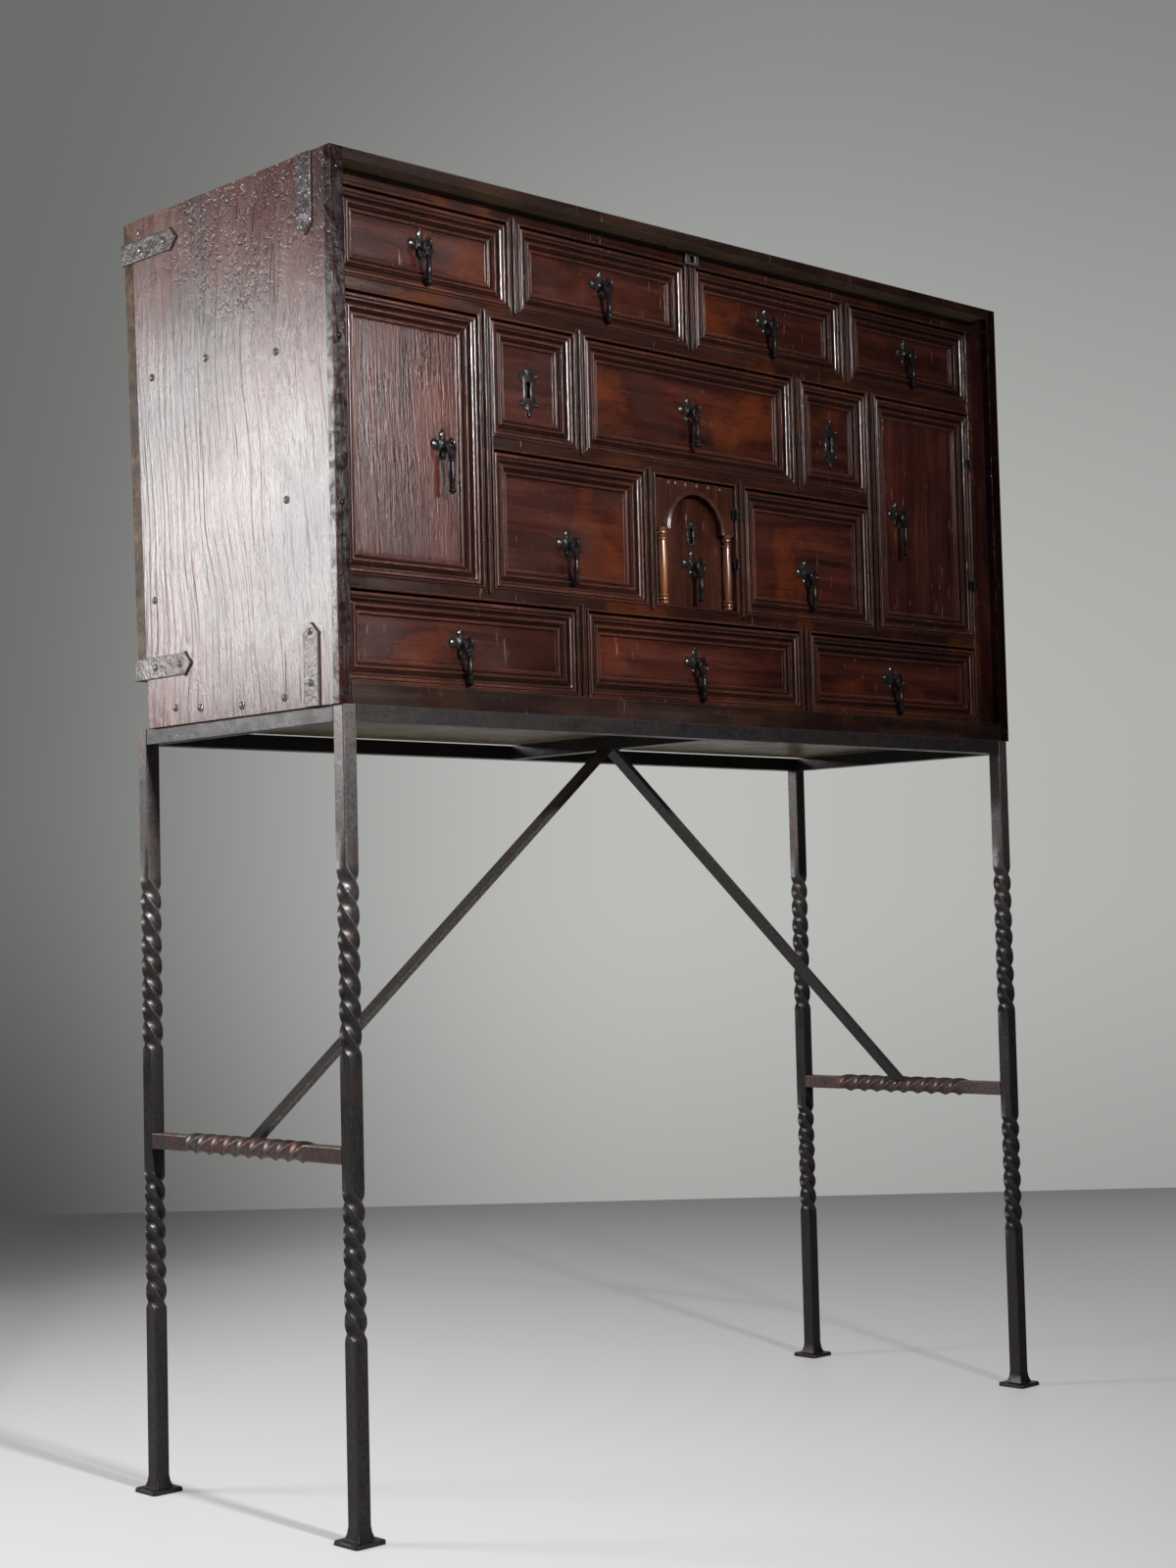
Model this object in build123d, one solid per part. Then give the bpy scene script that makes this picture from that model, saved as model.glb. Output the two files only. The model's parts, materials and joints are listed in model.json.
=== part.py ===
from build123d import *
import os
from math import cos, hypot, radians, sin, sqrt

# Vargueno: a walnut cabinet of drawers and doors on a forged iron stand.
# Frame: millimetres, +X to the right seen from the front, +Y to the back, +Z up.
# The origin is on the floor, under the middle of the stand.

# ---------------------------------------------------------------- stand sizes
case_width = 1180.0
stand_inset = 5.0               # the case reaches this far beyond the stand at each side
stand_width = case_width - 2 * stand_inset
stand_depth = 395.0
stand_height = 890.0
bar = 18.0                      # side of the square iron bar
foot_size = 41.0                # flared square foot
foot_thickness = 5.0
foot_flare_height = 14.0
foot_flare_size = 25.0
upper_twist_start = 512.0       # heights of the two twisted stretches of a leg
upper_twist_end = 716.0
upper_twist_quarters = 8
lower_twist_start = 211.0
lower_twist_end = 371.0
lower_twist_quarters = 7
twist_steps = 3                 # flats along a quarter turn
stretcher_height = 407.0        # centre line of the H stretchers
stretcher_twist_length = 225.0
stretcher_twist_quarters = 9
brace_width = 20.0              # flat iron of the slanting braces
brace_thickness = 6.0
brace_top_offset = 6.0          # from the middle of the stand to the brace's centre line

# ----------------------------------------------------------------- case sizes
side_thickness = 18.0
side_depth_top = 386.0          # the sides' rear edges slope in towards the bottom
side_depth_bottom = 364.0
top_thickness = 12.0
bottom_thickness = 24.0
back_thickness = 18.0
back_clearance_below = 57.0     # the nailed back stops above the case's bottom
back_strip_thickness = 14.0

# ------------------------------------------------------------ facade divisions
recess_depth = 28.0             # from the case's front edge to the facade, where a fall-front lay
rail_height = 18.0
sill_height = 7.0
row_a_height = 99.0
row_b_height = 136.0
row_c_height = 160.0
row_d_height = 100.0
divider_width = 20.0
end_strip_width = 14.0
a_outer_width = 250.0
b_outer_width = 131.0
d_outer_width = 348.0
door_opening_width = 202.0
arch_opening_width = 143.0
strip_depth = 12.0              # mouldings nailed to the front edges of the inner boards
strip_bead = 3.0                # bead along each edge of a rail or divider
strip_sink = 2.0                # flat band between the beads
divider_sink = 3.0
ridge_width = 5.0               # raised round ridge down the middle of a divider
ridge_rise = 1.0                # how far it stands in front of the facade
shelf_thickness = 16.0
partition_thickness = 16.0

# --------------------------------------------------------------- drawer sizes
side_gap = 1.8                  # gap at each side of a drawer front or a door
top_gap = 2.7
run_clearance = 0.4             # under a drawer or a door
front_setback = 1.0             # drawer mouldings behind the facade's beads
frame_width = 24.0              # mitred moulding frame on a front
frame_rise = 10.0               # how far it stands off the flat panel
outer_bead_width = 4.6          # bead round the outer edge of the frame
middle_bead_inner = 12.4        # bead along the middle of the frame, from its outer edge
middle_bead_outer = 16.2
inner_bead_width = 3.4          # small bead beside the flat panel
hollow_depth = 1.3              # hollows between the beads
front_thickness = 12.0
drawer_depth = 322.0            # overall, from the flat panel to the back
low_drawer_depth = 308.0        # in the lowest row, in front of the back strip
drawer_side = 9.0
drawer_back = 8.0
drawer_bottom = 7.0
drawer_side_drop = 6.0          # sides lower than the front board
door_thickness = 14.0
door_edge_bevel = 2.0           # a door's free edge is cut back behind, to clear its divider

# ------------------------------------------------------------------- ironwork
pull_ring_bar = 4.0             # bar of the ring at the top of a pull
pull_ring_width = 16.0
pull_ring_height = 17.0
pull_plate = 4.0
pull_radius = 4.8               # collars and finial
pull_neck_radius = 2.9
pull_shaft_radius = 4.1
pull_facets = 8
drawer_pull_shaft = 18.0
door_pull_shaft = 26.0
pull_clearance = 1.2            # between the pull and the moulding behind it
staple_bar = 2.5
staple_play = 1.2               # around the ring's bar
staple_width = 3.0
rosette_size = 38.0
rosette_thickness = 2.0
rosette_waist = 6.5
rosette_lobe = 7.0
plate_thickness = 1.6           # lock plates
lock_plate_height = 66.0
lock_plate_width = 31.0
keyhole_radius = 3.4
keyhole_length = 20.0
keyhole_foot = 6.5
lock_case_width = 44.0
lock_case_depth = 12.0
lock_case_margin = 8.0          # beyond the keyhole
bolt_width = 16.0
bolt_thickness = 5.0
bolt_length = 34.0
bolt_play = 0.3
bolt_throw = 11.0
bolt_stand_back = 1.0           # the drawn bolt's end below the edge of its front
arch_bolt_stand_back = 3.8      # and inside the free edge of the arched door, which swings
mortise_play = 1.0
hinge_pin_radius = 1.2
hinge_play = 0.3
hinge_eye_radius = 2.8
hinge_eye_height = 4.0
hinge_eye_gap = 0.3
hinge_leaf_length = 7.5
hinge_leaf_thickness = 1.6
hinge_leaf_sink = 1.2           # let into the bead of a tall door
arch_leaf_length = 5.0
hinge_flats = 8
hinge_spread = 172.0            # between the two hinges of a tall door
arch_hinge_spread = 63.0
arch_hinge_height = 92.0        # middle of the arched door's hinges above its foot
strap_width = 25.0
strap_thickness = 2.5
strap_tip = 13.0
strap_barb = 1.8
strap_length = 92.0
strap_return = 70.0
strap_front_inset = 46.0        # centre line of the upright straps behind the front edge
strap_top_drop = 38.0           # centre line of the upper rear straps below the top
strap_bottom_rise = 70.0        # centre line of the lower rear straps above the bottom
keep_width = 22.0
keep_height = 17.0
keep_thickness = 3.0
keep_slot = 9.0
keep_gap = 0.4                  # in front of the ridge behind it

# Heights of the pulls' pivots and keyholes above the floor of their cells
pull_height_a = 53.0
pull_height_b = 72.0
pull_height_c = 62.0
pull_height_d = 50.0
pull_height_door = 158.0
door_pull_inset = 47.0          # from the door's free edge
lock_height_b = 68.0
arch_pull_height = 56.0
arch_lock_height = 98.0

# ------------------------------------------------------------------ arch door
arch_half_width = 46.0
arch_spring_height = 95.0       # above the door's foot
arch_band = 6.0                 # archivolt
arch_band_rise = 1.5
spandrel_rise = 8.0
column_radius = 6.5
column_capital = 14.0           # height of the turned capital, and of the base
column_base = 12.0
column_facets = 12

# -------------------------------------------------------------- derived places
front_y = -stand_depth / 2
face_y = front_y + recess_depth                # front plane of the facade's beads
panel_y = face_y + front_setback + frame_rise  # flat panels of drawers and doors
case_bottom_z = stand_height
case_height = (bottom_thickness + sill_height + row_a_height + row_b_height + row_c_height
               + row_d_height + 4 * rail_height + top_thickness)
case_top_z = case_bottom_z + case_height
inner_half = case_width / 2 - side_thickness
inner_end_y = front_y + side_depth_bottom      # rear ends of the inner boards
low_end_y = inner_end_y - back_strip_thickness  # and of those in the lowest row
board_y = face_y + strip_depth                 # front edges of the inner boards

row_d_floor = case_bottom_z + bottom_thickness + sill_height
row_c_floor = row_d_floor + row_d_height + rail_height
row_b_floor = row_c_floor + row_c_height + rail_height
row_a_floor = row_b_floor + row_b_height + rail_height
row_a_top = row_a_floor + row_a_height

a_divider_x = inner_half - end_strip_width - a_outer_width - divider_width / 2
d_divider_x = inner_half - end_strip_width - d_outer_width - divider_width / 2
door_divider_x = inner_half - end_strip_width - door_opening_width - divider_width / 2
b_divider_x = door_divider_x - divider_width - b_outer_width
c_divider_x = arch_opening_width / 2 + divider_width / 2
block_half = door_divider_x - divider_width / 2   # half width between the door dividers
door_height = row_b_floor + row_b_height - row_c_floor

pivot_y = face_y + front_setback - pull_radius - pull_clearance


def rear_y(z):
    """Rear edge of the side boards at height z."""
    share = (z - case_bottom_z) / case_height
    return front_y + side_depth_bottom + (side_depth_top - side_depth_bottom) * share


# --------------------------------------------------------------------- helpers
def block(x0, x1, y0, y1, z0, z1):
    """Plain board or bar between two corners."""
    solid = Box(x1 - x0, y1 - y0, z1 - z0)
    return Pos((x0 + x1) / 2, (y0 + y1) / 2, (z0 + z1) / 2) * solid


def prism(points, direction, length):
    """Solid of a closed outline of 3-D points, extruded along a direction."""
    outline = Polyline(*points, close=True)
    return extrude(make_face(outline), amount=length, dir=direction)


def prism_x(points, x0, x1):
    """Outline of (y, z) points, from x0 to x1."""
    return prism([(x0, y, z) for y, z in points], (1, 0, 0), x1 - x0)


def prism_y(points, y0, y1):
    """Outline of (x, z) points, from y0 to y1."""
    return prism([(x, y0, z) for x, z in points], (0, 1, 0), y1 - y0)


def mirrored(solids):
    """The same pieces on the other side of the middle."""
    return [mirror(solid, about=Plane.YZ) for solid in solids]


def save(name, solids):
    """One STEP file for a named piece."""
    pieces = [piece for item in solids for piece in item.solids()]
    export_step(Compound(children=pieces), f"parts/{name}.step")


# --------------------------------------------------------------- twisted bars
full_turn = 360
quarter_turn = full_turn / 4


def skin(rings, flat=True):
    """Closed solid through rings of points, with flat faces between neighbouring rings.

    Between rings that are turned against each other, each face is split along its diagonal.
    """
    faces = [Face(Wire.make_polygon(ring)) for ring in (rings[0], rings[-1])]
    count = len(rings[0])
    for low, high in zip(rings, rings[1:]):
        for i in range(count):
            a, b, c, d = low[i], low[(i + 1) % count], high[(i + 1) % count], high[i]
            corners = [(a, b, c, d)] if flat else [(a, b, c), (a, c, d)]
            faces += [Face(Wire.make_polygon(loop)) for loop in corners]
    return Solid(Shell(faces))


def ring(radius, z, count, turn=0.0):
    """Corners of a regular polygon at height z, turned by an angle in degrees."""
    angles = [radians(full_turn * i / count + turn) for i in range(count)]
    return [(radius * cos(a), radius * sin(a), z) for a in angles]


def square(side, z, turn=0.0):
    """Corners of a square section at height z."""
    return ring(side / sqrt(2), z, 4, quarter_turn / 2 + turn)


def twist(start, end, quarters):
    """Left-hand twisted stretch of square bar."""
    steps = quarters * twist_steps
    rings = [square(bar, start + (end - start) * i / steps, -quarter_turn * i / twist_steps)
             for i in range(steps + 1)]
    return skin(rings, flat=False)


def square_bar(rings, length, spans):
    """Square bar up to a length, from its lowest rings, with twisted spans on the way."""
    pieces = []
    level = rings
    for start, end, quarters in spans:
        pieces.append(skin(level + [square(bar, start)]))
        pieces.append(twist(start, end, quarters))
        level = [square(bar, end)]
    pieces.append(skin(level + [square(bar, length)]))
    return pieces[0].fuse(*pieces[1:])


def make_leg():
    """Leg forged out below into a flared square foot."""
    flare = foot_thickness + foot_flare_height
    foot = [square(foot_size, 0), square(foot_size, foot_thickness),
            square(foot_flare_size, foot_thickness), square(bar, flare)]
    return square_bar(foot, stand_height, [(lower_twist_start, lower_twist_end, lower_twist_quarters),
                                           (upper_twist_start, upper_twist_end, upper_twist_quarters)])


leg_x = stand_width / 2 - bar / 2
leg_y = stand_depth / 2 - bar / 2


def make_stretcher():
    """H stretcher between a front and a rear leg, twisted in the middle."""
    length = stand_depth - 2 * bar
    start = (length - stretcher_twist_length) / 2
    span = (start, start + stretcher_twist_length, stretcher_twist_quarters)
    upright = square_bar([square(bar, 0)], length, [span])
    return Pos(leg_x, length / 2, stretcher_height) * Rot(90, 0, 0) * upright


def make_brace(stretcher):
    """Flat brace from a stretcher's middle up to the cross bar, on the +X side."""
    foot = (leg_x, stretcher_height)
    head = (brace_top_offset, stand_height - bar)
    run = hypot(head[0] - foot[0], head[1] - foot[1])
    along = ((head[0] - foot[0]) / run, (head[1] - foot[1]) / run)
    across = (-along[1] * brace_thickness / 2, along[0] * brace_thickness / 2)
    over = (head[0] + along[0] * bar, head[1] + along[1] * bar)
    outline = [(foot[0] + across[0], foot[1] + across[1]), (over[0] + across[0], over[1] + across[1]),
               (over[0] - across[0], over[1] - across[1]), (foot[0] - across[0], foot[1] - across[1])]
    raw = prism_y(outline, -brace_width / 2, brace_width / 2)
    reach = block(0, stand_width / 2, -brace_width, brace_width, 0, stand_height - bar)
    return (raw & reach) - stretcher


def make_stand():
    leg = make_leg()
    places = [(sx * leg_x, sy * leg_y) for sx in (-1, 1) for sy in (-1, 1)]
    save("stand_legs", [Pos(x, y, 0) * leg for x, y in places])

    low = stand_height - bar
    inner_x = stand_width / 2 - bar
    inner_y = stand_depth / 2 - bar
    front = block(-inner_x, inner_x, -stand_depth / 2, -inner_y, low, stand_height)
    rear = block(-inner_x, inner_x, inner_y, stand_depth / 2, low, stand_height)
    side = block(inner_x, stand_width / 2, -inner_y, inner_y, low, stand_height)
    cross = block(-bar / 2, bar / 2, -inner_y, inner_y, low, stand_height)
    save("stand_top_frame", [front, rear, side, cross] + mirrored([side]))

    stretcher = make_stretcher()
    far_side = Rot(0, 0, 180) * stretcher
    save("stand_stretchers", [stretcher, far_side])
    brace = make_brace(stretcher)
    save("stand_braces", [brace, Rot(0, 0, 180) * brace])


# ------------------------------------------------------------------------ case
def make_case():
    z0 = case_bottom_z
    z1 = case_top_z
    housings = [top_return(), *mirrored([top_return()])]
    side = prism_x([(front_y, z0), (rear_y(z0), z0), (rear_y(z1), z1), (front_y, z1)],
                   inner_half, case_width / 2)
    side -= housings[0]
    save("case_side_right", [side])
    save("case_side_left", mirrored([side]))

    for name, low, high in (("case_top", z1 - top_thickness, z1),
                            ("case_bottom", z0, z0 + bottom_thickness)):
        outline = [(front_y, low), (rear_y(low), low), (rear_y(high), high), (front_y, high)]
        board = prism_x(outline, -inner_half, inner_half)
        for housing in housings:
            board -= housing
        save(name, [board])

    boards = []
    levels = [z0 + back_clearance_below, (z0 + back_clearance_below + z1) / 2, z1]
    for low, high in zip(levels, levels[1:]):
        outline = [(rear_y(low), low), (rear_y(low) + back_thickness, low),
                   (rear_y(high) + back_thickness, high), (rear_y(high), high)]
        boards.append(prism_x(outline, -case_width / 2, case_width / 2))
    boards.append(block(-inner_half, inner_half, low_end_y, inner_end_y, z0 + bottom_thickness, levels[0]))
    save("case_back", boards)


def mortises():
    """Pockets in the inner boards for the three lock bolts."""
    cuts = []
    deep = bolt_throw
    for centre_x in b_lock_x:
        half = bolt_width / 2 + mortise_play
        y0, y1 = bolt_y_range()
        top = row_b_floor + row_b_height
        cuts.append(block(centre_x - half, centre_x + half, y0 - mortise_play, y1 + mortise_play,
                          top, top + deep))
    half = bolt_width / 2 + mortise_play
    y0, y1 = bolt_y_range(door_thickness)
    edge = -arch_opening_width / 2
    level = row_c_floor + arch_lock_height
    cuts.append(block(edge - deep, edge, y0 - mortise_play, y1 + mortise_play,
                      level - half, level + half))
    return cuts


def make_inner_boards():
    """Shelves and upright partitions that make the cells."""
    def shelf(top, half):
        return block(-half, half, board_y, inner_end_y, top - shelf_thickness, top)

    def partition(x, low, high, end_y=inner_end_y):
        half = partition_thickness / 2
        return block(x - half, x + half, board_y, end_y, low, high)

    shelves = [shelf(row_a_floor, inner_half), shelf(row_c_floor, inner_half),
               shelf(row_b_floor, door_divider_x - partition_thickness / 2)]
    floor = case_bottom_z + bottom_thickness
    ceiling = case_top_z - top_thickness
    uprights = []
    for x in (-a_divider_x, 0, a_divider_x):
        uprights.append(partition(x, row_a_floor, ceiling))
    for x in (-door_divider_x, door_divider_x):
        uprights.append(partition(x, row_c_floor, row_a_floor - shelf_thickness))
    for x in (-b_divider_x, b_divider_x):
        uprights.append(partition(x, row_b_floor, row_a_floor - shelf_thickness))
    for x in (-c_divider_x, c_divider_x):
        uprights.append(partition(x, row_c_floor, row_b_floor - shelf_thickness))
    for x in (-d_divider_x, d_divider_x):
        uprights.append(partition(x, floor, row_c_floor - shelf_thickness, low_end_y))
    # The lowest drawers run on slips that bring them up to the sill.
    slips = [block(-inner_half, -d_divider_x - partition_thickness / 2, board_y, low_end_y,
                   floor, row_d_floor),
             block(-d_divider_x + partition_thickness / 2, d_divider_x - partition_thickness / 2,
                   board_y, low_end_y, floor, row_d_floor)]
    slips += mirrored(slips[:1])
    boards = shelves + uprights + slips
    for cut in mortises():
        boards = [board - cut for board in boards]
    save("inner_boards", boards)


# ----------------------------------------------------------- facade mouldings
def strip_outline(width, sink, ridge):
    """Section of a strip with a bead along each edge, and a raised ridge between them if asked."""
    half = width / 2
    flat = strip_bead / 4
    points = [(-half, strip_depth), (-half, strip_bead / 2), (-half + flat, 0),
              (-half + strip_bead - flat, 0), (-half + strip_bead, sink)]
    if ridge:
        points += [(-ridge_width / 2, sink), (-ridge_width / 2, 0), (-ridge_width / 4, -ridge_rise)]
    points += [(-x, y) for x, y in reversed(points)]
    return make_face(Polyline(*points, close=True))


def rail_strip(z, x0, x1):
    """Level rail with its lower edge at z."""
    section = Plane((x0, face_y, z + rail_height / 2), x_dir=(0, 0, 1), z_dir=(1, 0, 0))
    # On this plane the second axis runs forwards, so the section is turned over.
    face = section * mirror(strip_outline(rail_height, strip_sink, False), about=Plane.XZ)
    return extrude(face, amount=x1 - x0, dir=(1, 0, 0))


def divider_strip(x, z0, z1, foot_point, head_point):
    """Upright divider whose ends are mitred to points that run into the rails."""
    low = z0 - foot_point
    high = z1 + head_point
    face = Plane((x, face_y, low), x_dir=(1, 0, 0), z_dir=(0, 0, 1)) * strip_outline(
        divider_width, divider_sink, True)
    raw = extrude(face, amount=high - low, dir=(0, 0, 1))
    return raw & divider_point(x, z0, z1, foot_point, head_point)


def divider_point(x, z0, z1, foot_point, head_point):
    """Pointed outline of a divider, deeper than any strip."""
    half = divider_width / 2
    outline = [(x - half, z0), (x, z0 - foot_point), (x + half, z0),
               (x + half, z1), (x, z1 + head_point), (x - half, z1)]
    if not foot_point:
        outline.remove((x, z0))
    return prism_y(outline, face_y - strip_depth, face_y + 2 * strip_depth)


def make_facade():
    """Rails, dividers, sill and end strips on the front edges of the inner boards."""
    point = rail_height / 2
    run_half = inner_half - end_strip_width
    floor = case_bottom_z + bottom_thickness
    rail_under_a = row_a_floor - rail_height
    rail_under_b = row_b_floor - rail_height
    rail_under_c = row_c_floor - rail_height

    dividers = [(x, row_a_floor, row_a_top, point, point) for x in (-a_divider_x, 0, a_divider_x)]
    dividers += [(x, row_c_floor, rail_under_a, point, point)
                 for x in (-door_divider_x, door_divider_x)]
    dividers += [(x, row_b_floor, rail_under_a, point, point) for x in (-b_divider_x, b_divider_x)]
    dividers += [(x, row_c_floor, rail_under_b, point, point) for x in (-c_divider_x, c_divider_x)]
    dividers += [(x, floor, rail_under_c, 0, point) for x in (-d_divider_x, d_divider_x)]

    inner_run = door_divider_x - divider_width / 2
    rails = [rail_strip(row_a_top, -inner_half, inner_half),
             rail_strip(rail_under_a, -run_half, run_half),
             rail_strip(rail_under_b, -inner_run, inner_run),
             rail_strip(rail_under_c, -run_half, run_half),
             block(-run_half, run_half, face_y, board_y, floor, row_d_floor)]
    for divider in dividers:
        rails = [rail - divider_point(*divider) for rail in rails]
    strips = [divider_strip(*divider) for divider in dividers]

    # An end strip has one bead, on its inner edge.
    inner = inner_half - end_strip_width
    plane = Plane((inner + divider_width / 2, face_y, floor))
    outline = strip_outline(divider_width, divider_sink, False)
    end = extrude(plane * outline, amount=row_a_top - floor, dir=(0, 0, 1))
    end = end & block(inner, inner_half, face_y - bar, board_y, floor, row_a_top)
    save("facade_mouldings", rails + strips + [end] + mirrored([end]))


# ------------------------------------------------------ drawer and door fronts
def frame_section():
    """Moulding section: across from the outer edge, and out from the flat panel."""
    top, middle, inner = frame_rise, frame_rise * 0.6, frame_rise * 0.3
    round_off = outer_bead_width / 4
    outer_bead = [(0, 0), (0, top - round_off), (round_off, top), (outer_bead_width - round_off, top),
                  (outer_bead_width, top - hollow_depth)]
    low, high = middle_bead_inner, middle_bead_outer
    crown = (high - low) / 4
    middle_bead = [(low, middle - hollow_depth), (low, middle), (low + crown, middle + crown),
                   (high - crown, middle + crown), (high, middle), (high, middle - hollow_depth)]
    start = frame_width - inner_bead_width
    step = inner_bead_width / 4
    inner_bead = [(start, inner - step), (start + step, inner), (frame_width - step, inner),
                  (frame_width, 0)]
    return make_face(Polyline(*outer_bead, *middle_bead, *inner_bead, close=True))


def moulding_frame(x0, x1, z0, z1):
    """Mitred frame round a front, laid on its flat panel."""
    middle = (x0 + x1) / 2
    corners = [(middle, z0), (x1, z0), (x1, z1), (x0, z1), (x0, z0)]
    path = Polyline(*[(x, panel_y, z) for x, z in corners], close=True)
    section = Plane((middle, panel_y, z0), x_dir=(0, 0, 1), z_dir=(1, 0, 0))
    return sweep(section * frame_section(), path=path.wire(), transition=Transition.RIGHT)


def keyhole(x, z, y0, y1):
    """Keyhole: a round eye over a flared slot."""
    eye = Plane((x, y0, z), x_dir=(1, 0, 0), z_dir=(0, 1, 0)) * Circle(keyhole_radius)
    foot = z - keyhole_length + keyhole_radius
    half = keyhole_foot / 2
    slot = prism_y([(x - keyhole_radius / 2, z), (x + keyhole_radius / 2, z),
                    (x + half, foot), (x - half, foot)], y0, y1)
    return extrude(eye, amount=y1 - y0, dir=(0, 1, 0)) + slot


def front_span(low, high):
    """Outer edges of a front that fills a cell between two uprights."""
    return low + side_gap, high - side_gap


def make_drawer(name, low, high, floor, height, lock=None):
    """Drawer of a cell: front board, moulding frame, sides, back and bottom."""
    x0, x1 = front_span(low, high)
    z0 = floor + run_clearance
    z1 = floor + height - top_gap
    inside_y = panel_y + front_thickness
    end_y = panel_y + (low_drawer_depth if name[0] == "d" else drawer_depth)
    front = block(x0, x1, panel_y, inside_y, z0, z1)
    if lock:
        front = front - keyhole(*lock, panel_y, inside_y)
    wall_top = z1 - drawer_side_drop
    base = z0 + drawer_bottom
    side = block(x0, x0 + drawer_side, inside_y, end_y, base, wall_top)
    other = block(x1 - drawer_side, x1, inside_y, end_y, base, wall_top)
    back = block(x0 + drawer_side, x1 - drawer_side, end_y - drawer_back, end_y, base, wall_top)
    bottom = block(x0, x1, inside_y, end_y, z0, base)
    save(f"drawer_{name}", [front, moulding_frame(x0, x1, z0, z1), side, other, back, bottom])


# --------------------------------------------------------- pulls and rosettes
def ring_outline(half_width, top, bottom):
    """Long eight-sided ring outline, as (x, z) points round the pivot."""
    cut = half_width * 0.45
    return [(-half_width, top - cut), (-half_width + cut, top), (half_width - cut, top),
            (half_width, top - cut), (half_width, bottom + cut), (half_width - cut, bottom),
            (-half_width + cut, bottom), (-half_width, bottom + cut)]


def pull_shape(shaft):
    """Drop pull hung from its pivot: ring, collars, swelling shaft and ball finial."""
    half = pull_ring_width / 2
    top = pull_ring_bar / 2
    foot = top - pull_ring_height
    outer = prism_y(ring_outline(half, top, foot), -pull_plate / 2, pull_plate / 2)
    hole = prism_y(ring_outline(half - pull_ring_bar, top - pull_ring_bar, foot + pull_ring_bar),
                   -pull_plate, pull_plate)
    full, neck, belly = pull_radius, pull_neck_radius, pull_shaft_radius
    steps = [(full, 0.0), (full, 3.2), (neck, 1.4), (full, 2.2), (neck, 2.2), (belly, shaft * 0.6),
             (neck, shaft * 0.4), (full, 2.0), (neck, 2.0), (full, 3.0), (full, 2.8), (neck / 2, 2.6)]
    level = foot + 1.0
    rings = []
    for radius, drop in steps:
        level -= drop
        rings.append(ring(radius, level, pull_facets))
    return (outer - hole) + skin(rings)


def rosette_outline():
    """Four pointed lobes round a square waist, as (x, z) points."""
    half = rosette_size / 2
    points = []
    for lobe in range(4):
        turn = radians(90 * lobe)
        for across, out in ((rosette_waist, rosette_waist), (rosette_lobe, half * 0.66), (0, half),
                            (-rosette_lobe, half * 0.66)):
            points.append((across * cos(turn) - out * sin(turn), across * sin(turn) + out * cos(turn)))
    return points


def make_rosette(x, z):
    """Iron rosette on a flat panel, and the staple that holds a pull's ring."""
    face = make_face(Polyline(*[(px + x, panel_y, pz + z) for px, pz in rosette_outline()], close=True))
    rosette = extrude(face, amount=rosette_thickness, dir=(0, -1, 0))
    opening = pull_ring_bar / 2 + staple_play
    reach = opening + staple_bar
    back = panel_y - rosette_thickness
    half = staple_width / 2
    outer = block(x - half, x + half, pivot_y - reach, back, z - reach, z + reach)
    inner = block(x - staple_width, x + staple_width, pivot_y - opening, pivot_y + opening + staple_bar,
                  z - opening, z + opening)
    return [rosette, outer - inner]


# -------------------------------------------------------------- locks and bolts
def lock_plate(x, z):
    """Waisted shield with pointed ends; z is the keyhole's eye."""
    half = lock_plate_width / 2
    waist = half * 0.62
    neck = half * 0.36
    mid = z - keyhole_length / 2 + keyhole_radius
    high = lock_plate_height / 2
    right = [(0, high), (neck, high * 0.72), (neck * 0.8, high * 0.56), (half, high * 0.5),
             (waist, high * 0.3), (waist, -high * 0.3), (half, -high * 0.5),
             (neck * 0.8, -high * 0.56), (neck, -high * 0.72), (0, -high)]
    left = [(-px, pz) for px, pz in right[-2:0:-1]]
    outline = [(px + x, pz + mid) for px, pz in right + left]
    plate = prism_y(outline, panel_y - plate_thickness, panel_y)
    return plate - keyhole(x, z, panel_y - plate_thickness, panel_y)


def bolt_y_range(board=front_thickness):
    """Front and rear faces of a lock bolt behind a board of this thickness."""
    middle = panel_y + board + lock_case_depth / 2
    return middle - bolt_thickness / 2, middle + bolt_thickness / 2


def lock_parts(x, top, low, board):
    """Lock case behind a board, from low to top, with an upright bolt whose end is at top."""
    y0 = panel_y + board
    half_case = lock_case_width / 2
    case = block(x - half_case, x + half_case, y0, y0 + lock_case_depth, low, top)
    b0, b1 = bolt_y_range(board)
    half = bolt_width / 2
    channel = block(x - half - bolt_play, x + half + bolt_play, b0 - bolt_play, b1 + bolt_play,
                    top - bolt_length - bolt_play, top + bolt_throw)
    bolt = block(x - half, x + half, b0, b1, top - bolt_length, top)
    return case - channel, bolt


def make_drawer_lock(name, x, z):
    top = row_b_floor + row_b_height - top_gap - bolt_stand_back
    low = z - keyhole_length + keyhole_radius - lock_case_margin
    case, bolt = lock_parts(x, top, low, front_thickness)
    save(f"lock_{name}", [lock_plate(x, z), case])
    save(f"bolt_{name}", [bolt])


# ------------------------------------------------------------------------ doors
def upright_bar(radius, x, y, z, length):
    """Round upright bar dressed with a few flats, centred on (x, y, z)."""
    turn = 180 / hinge_flats
    return Pos(x, y, 0) * skin([ring(radius, z - length / 2, hinge_flats, turn),
                                ring(radius, z + length / 2, hinge_flats, turn)])


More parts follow.
